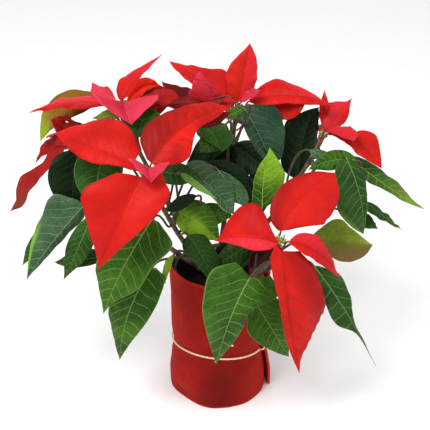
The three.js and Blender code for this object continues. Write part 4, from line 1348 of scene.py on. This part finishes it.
# %% [markdown]
# ## The form of the wrap
# The wrap is one rectangle of 3 mm wool felt, wound once round the pot and a little more, so that its
# outer end lies over the start and stands off at the right. A place on it is given by a turn in
# degrees, from the inner end to the outer one, and a height. The tie pulls it in at its waist, its
# foot is flattened at the front left, and its top edge dips at the back.

# %% Felt form
FELT_THICK = 3 * MM
FELT_OVERLAP = 43  # degrees
FELT_END = -8  # where the outer end is, in degrees from +X
FELT_RISE = 34  # degrees over which the sheet climbs on to its own start
FELT_TURN = 360 + FELT_OVERLAP
FLAP_TURN = 16  # the last degrees, which stand off
FLAP_OUT = 4 * MM
# height above the floor and outer radius, in mm
FELT_PROFILE = [(0, 57), (20, 56.6), (42, 54.2), (60, 51.6), (86, 53.2), (165, 54.6)]
FELT_HEIGHT = 161  # mm
FELT_TILT = 4  # mm, how much lower the top edge is at the right, and higher at the left
FELT_DIP = (128, 34, 11)  # where the top edge dips, over how many degrees and how far in mm
FELT_DENT = (222, 30, 5.5)  # where the foot is flattened, over how many degrees and how far in mm
DENT_TOP = 30  # mm above the floor
TIE_HEIGHT = 60  # mm
TIE_REACH = 10  # mm above and below the tie over which it holds the loose end down


def felt_angle(turn):
    return math.radians(FELT_END + FELT_TURN - turn)


def hollow(turn, where, spread, depth):
    """A soft hollow round one direction."""
    return depth * bell(math.degrees(felt_angle(turn)) % 360 - where, spread)


def profile_radius(height):
    """Outer radius of the wrap at a height, in mm, smooth through the listed ones."""
    below = max((i for i, (z, _) in enumerate(FELT_PROFILE[:-1]) if z <= height), default=0)
    (z0, r0), (z1, r1) = FELT_PROFILE[below], FELT_PROFILE[below + 1]
    return mix(r0, r1, soft(height, z0, z1))


def felt_radius(turn, height):
    climb = soft(turn, 360 - FELT_RISE, 360) * (FELT_THICK + GAP)
    held = bell(height - TIE_HEIGHT, TIE_REACH)
    flare = soft(turn, FELT_TURN - FLAP_TURN, FELT_TURN) * FLAP_OUT * (1 - held)
    dent = hollow(turn, *FELT_DENT) * (1 - soft(height, 0, DENT_TOP))
    return (profile_radius(height) - dent) * MM + climb + flare


def felt_top(turn):
    return FELT_HEIGHT - FELT_TILT * math.cos(felt_angle(turn)) - hollow(turn, *FELT_DIP)


# %% [markdown]
# ## Felt wrap
# The sheet starts as a flat grid, is rolled into its spiral with some unevenness from noise, and is
# then thickened inwards. Each corner learns whether it is on a cut edge, which gets a painted
# highlight, and how much painted shade it gets.

# %% Felt wrap
FELT_AROUND, FELT_UP = 300, 64
FELT_FOOT = 0.3 * MM  # keeps the cut edge, which solidify rounds, off the floor
WAVES = ((2.2, Vector((0, 0, 0)), 0.9), (6, Vector((7, 3, 1)), 0.35))  # pace, shift and size in mm
WAVES_UPRIGHT = 0.012  # how much of a turn's worth of waves each millimetre of height gives
WAVES_IN = 0.4 * MM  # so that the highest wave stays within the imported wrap
SHADE_PATCH = {"middle": 4, "spread": 30, "low": 30, "high": 90}  # mm, where shade is painted on the front
# how much painted shade the back gets, and how much of it is left high up
SHADE_BEHIND = 0.5
SHADE_HIGH_UP = 0.25
CUT_FACING = 0.6  # faces that look outwards less than this are on a cut edge
LEVEL = Vector((1, 1, 0))


def make_felt_wrap():
    bm = bmesh.new()
    bmesh.ops.create_grid(bm, x_segments=FELT_AROUND, y_segments=FELT_UP, size=0.5)
    for vert in bm.verts:
        turn = (vert.co.x + 0.5) * FELT_TURN
        height = (vert.co.y + 0.5) * felt_top(turn)
        angle = felt_angle(turn)
        point = around(angle, 1, height * WAVES_UPRIGHT)
        wave = sum(noise.noise(point * pace + shift) * size for pace, shift, size in WAVES)
        radius = felt_radius(turn, height) + wave * MM - WAVES_IN
        vert.co = around(angle, radius, height * MM + FELT_FOOT)
    bmesh.ops.recalc_face_normals(bm, faces=bm.faces)
    if bm.faces[0].normal.dot(bm.faces[0].calc_center_median() * LEVEL) < 0:
        bmesh.ops.reverse_faces(bm, faces=bm.faces)
    bmesh.ops.solidify(bm, geom=bm.faces[:], thickness=FELT_THICK)
    return bm


def paint_felt(bm):
    """Marks the cut edges, which get a painted highlight, and paints shade on the front low down and over
    the back.
    """
    edge = bm.verts.layers.float.new("cut_edge")
    nap = bm.verts.layers.float.new("nap")
    for vert in bm.verts:
        aside = vert.co.x / MM - SHADE_PATCH["middle"]
        front = bell(aside, SHADE_PATCH["spread"]) if vert.co.y < 0 else SHADE_BEHIND
        high = soft(vert.co.z / MM, SHADE_PATCH["low"], SHADE_PATCH["high"])
        vert[nap] = front * mix(1, SHADE_HIGH_UP, high)
    # the cut edges get a painted highlight
    for face in bm.faces:
        out = (face.calc_center_median() * LEVEL).normalized()
        if abs(face.normal.dot(out)) < CUT_FACING:
            for vert in face.verts:
                vert[edge] = 1.0


felt_bm = make_felt_wrap()
paint_felt(felt_bm)
print("felt:", len(felt_bm.faces), "faces")
felt = finish_piece(felt_bm, "felt_sheet", [felt_finish()], ["felt_wrap"])

# %% [markdown]
# ## The line of the tie
# The tie lies round the felt, a little higher at the left and in front. At each angle it keeps clear
# of the widest felt near it, so it bridges the step at the sheet's outer end.

# %% Tie line
TIE_RADIUS = 1.1 * MM
TIE_SLOPE = {"left": 6, "front": 8}  # mm, how much higher it is there than at its middle
TIE_BRIDGE = (-12, -8, -4, 0, 4, 8, 12)  # degrees to both sides that it keeps clear of
KNOT_ANGLE = math.radians(-89)  # in front, behind the large leaf


def tie_line(angle, lift=0.0, out=0.0):
    """A point on the tie, or so far above it in mm and outside it in metres."""
    height = TIE_HEIGHT - TIE_SLOPE["left"] * math.cos(angle) - TIE_SLOPE["front"] * math.sin(angle)
    reach = 0
    for shift in TIE_BRIDGE:
        turn = (FELT_END + FELT_TURN - math.degrees(angle) - shift) % 360
        reach = max(reach, felt_radius(turn, height))
        if turn <= FELT_OVERLAP:
            reach = max(reach, felt_radius(turn + 360, height))
    return around(angle, reach + GAP + TIE_RADIUS + out, (height + lift) * MM)


# %% [markdown]
# ## Tie
# Two strands of pale cord are twisted together and pulled tight round the felt. Each strand is a thin
# tube that winds round the line of the tie. A small knot at the front holds them, with a long end
# that lies up and to the right and a short one that hangs.

# %% Tie
STRAND_RADIUS = TIE_RADIUS * 0.56
STRAND_STEPS = 420
TWISTS = 60
STRANDS_IN = -0.3 * MM  # the twisted strands press a little into the felt's pile
KNOT_SIZE = (1.5 * MM, 1.3 * MM, 1.3 * MM)
KNOT_OUT = 1.0 * MM
CORD_ENDS = (
    # corners of each end's curve: radians from the knot, mm above it
    ((0, 0), (-0.02, 14), (0.12, 21), (0.33, 19)),
    ((0, 0), (-0.03, -2), (-0.05, -4)),
)
END_STEPS = 10
END_OUT = 0.9 * MM
END_RADIUS = TIE_RADIUS * 0.8
END_FRAYED = TIE_RADIUS * 1.1


def cord_finish():
    finish = Finish("pale_cord", {"Roughness": 0.9, "Sheen Weight": 0.2})
    fibre = finish.noise(2600, detail=3)
    cloud = finish.noise(200, detail=2)
    tan, cream = paint(240, 194, 152), paint(255, 236, 206)
    finish.feed("Base Color", finish.blend(cloud * 0.6 + fibre * 0.4, tan, cream))
    finish.bump(fibre, 0.3 * MM)
    return finish.material


def put_strand(bm, phase):
    points = []
    for i in range(STRAND_STEPS + 1):
        angle = KNOT_ANGLE + (i / STRAND_STEPS) * math.tau
        spin = phase + (i / STRAND_STEPS) * math.tau * TWISTS
        aside = around(angle, math.cos(spin), math.sin(spin))
        points.append(tie_line(angle, 0, STRANDS_IN) + aside * STRAND_RADIUS)
    grow_tube(bm, points, [STRAND_RADIUS] * len(points), sides=6)


def make_tie():
    bm = bmesh.new()
    for phase in (0, math.pi):
        put_strand(bm, phase)
    knot = Matrix.Translation(tie_line(KNOT_ANGLE, 0, KNOT_OUT)) @ Matrix.Diagonal((*KNOT_SIZE, 1))
    put_ball(bm, knot, 0, 14, 9)
    for corners in CORD_ENDS:
        ends = [tie_line(KNOT_ANGLE + turn, lift, END_OUT) for turn, lift in corners]
        points = [bezier(ends, i / END_STEPS) for i in range(END_STEPS + 1)]
        grow_tube(bm, points, [END_RADIUS] * END_STEPS + [END_FRAYED], sides=7)
    finish_piece(bm, "tie_cord", [cord_finish()], ["wrap_tie"])


make_tie()
print("tie:", TWISTS, "twists")

# %% [markdown]
# ## Grower pot
# Only the pot's rim shows, between the leaves and the felt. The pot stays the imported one, and its
# materials are exchanged for a moulded black finish with faint streaks.

# %% Pot finish
def pot_finish():
    finish = Finish("black_pot", {"Specular IOR Level": 0.4})
    streak = finish.noise(260, detail=3)
    cloud = finish.noise(50, detail=2)
    finish.feed("Base Color", finish.blend(cloud, paint(14, 14, 14), paint(30, 29, 28)))
    finish.feed("Roughness", 0.42 + streak * 0.2)
    finish.bump(streak, 0.2 * MM)
    return finish.material


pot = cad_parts["grower_pot"]
pot.data.materials.clear()
pot.data.materials.append(pot_finish())

# %% [markdown]
# ## Soil
# The soil fills the pot to a little below its rim. It is grown ring by ring: up along the inside of
# the wall, and then inwards over a slightly domed top that noise roughens. A few hundred crumbs lie
# on it.

# %% Soil form
POT = {"height": 158 * MM, "base": 42 * MM, "top": 48 * MM, "wall": 1.4 * MM, "floor": 2 * MM}
SOIL_FOOT = POT["floor"] + GAP
SOIL_TOP = 124 * MM
SOIL_CROWN = 3 * MM
SOIL_CORNER = 2 * MM
SOIL_SIDES = 96
SOIL_RINGS = 26
ROUGH_PACE = 160  # to the metre
ROUGH_FINER = (0.8, 2.2, 4)  # how fast finer bumps fade, how much finer each is, and how many
ROUGH_HIGH = 1.6 * MM
ROUGH_SINK = 0.6 * MM


def inside_pot(height):
    """The widest that the soil can be at a height, just clear of the pot's wall."""
    return mix(POT["base"], POT["top"], height / POT["height"]) - POT["wall"] - GAP


def next_ring(bm, face, place):
    """Extrudes a face and puts each of its new corners where `place` says."""
    grown = bmesh.ops.extrude_face_region(bm, geom=[face])["geom"]
    for item in grown:
        if isinstance(item, bmesh.types.BMVert):
            item.co = place(item.co.xy.normalized())
    return next(item for item in grown if isinstance(item, bmesh.types.BMFace))


def wall_place(height):
    return lambda out: (*(out * inside_pot(height)), height)


def top_place(share):
    """A place on the rough, slightly domed top, at a share of the way out from its middle."""
    def place(out):
        flat = out * inside_pot(SOIL_TOP) * share
        rough = noise.fractal(Vector((*flat, 0)) * ROUGH_PACE, *ROUGH_FINER) * ROUGH_HIGH
        return (*flat, SOIL_TOP + SOIL_CROWN * (1 - share**2) + rough - ROUGH_SINK)

    return place


def grow_soil(bm):
    foot = Matrix.Translation((0, 0, SOIL_FOOT))
    radius = inside_pot(SOIL_FOOT) - SOIL_CORNER
    ring = bmesh.ops.create_circle(bm, segments=SOIL_SIDES, radius=radius, cap_ends=True, matrix=foot)
    face = ring["verts"][0].link_faces[0]
    face = next_ring(bm, face, wall_place(SOIL_FOOT + SOIL_CORNER))
    face = next_ring(bm, face, wall_place(SOIL_TOP))
    for i in range(1, SOIL_RINGS):
        face = next_ring(bm, face, top_place(1 - i / SOIL_RINGS))
    bmesh.ops.poke(bm, faces=[face])


# %% [markdown]
# ## Crumbs
# Crumbs are small stretched balls of a few faces each, strewn evenly over the top by chance. The
# square root keeps them from crowding in the middle.

# %% Crumbs and the soil's finish
CRUMBS = 260
CRUMB_SEED = 5
CRUMB_REACH = (0.03, 0.92)  # shares of the top's area, from its middle
CRUMB_SIZE = (0.6, 1.9)  # mm
CRUMB_LONG = (1, 2.4)  # length, beside its width
CRUMB_FLAT = 0.7
CRUMB_LIFT = 2 * MM  # in the middle
CRUMB_TURN = 6  # radians


def put_crumb(bm, chance):
    share = math.sqrt(chance.uniform(*CRUMB_REACH))
    angle = chance.uniform(0, math.tau)
    out = inside_pot(SOIL_TOP) * share
    size = chance.uniform(*CRUMB_SIZE) * MM
    height = SOIL_TOP + CRUMB_LIFT * (1 - share)
    place = around(angle, out, height)
    turn = Matrix.Rotation(chance.uniform(0, CRUMB_TURN), 4, Vector((chance.random(), chance.random(), 1)))
    shape = Matrix.Diagonal((size * chance.uniform(*CRUMB_LONG), size, size * CRUMB_FLAT, 1))
    at = Matrix.Translation(place) @ turn @ shape
    bmesh.ops.create_icosphere(bm, subdivisions=1, radius=1, matrix=at)


def soil_finish():
    finish = Finish("soil", {"Roughness": 1.0, "Specular IOR Level": 0.2})
    grain = finish.noise(420, detail=5, roughness=0.7)
    cloud = finish.noise(60, detail=2)
    colour = finish.blend(finish.ramp(grain, 0.35, 0.7), paint(24, 17, 12), paint(64, 46, 32))
    finish.feed("Base Color", finish.blend(cloud * 0.4, colour, paint(38, 28, 20)))
    finish.bump(grain, 2 * MM)
    return finish.material


def make_soil():
    bm = bmesh.new()
    grow_soil(bm)
    chance = random.Random(CRUMB_SEED)
    for _ in range(CRUMBS):
        put_crumb(bm, chance)
    finish_piece(bm, "soil_crumbs", [soil_finish()], ["potting_soil"])


make_soil()
print("crumbs on the soil:", CRUMBS)
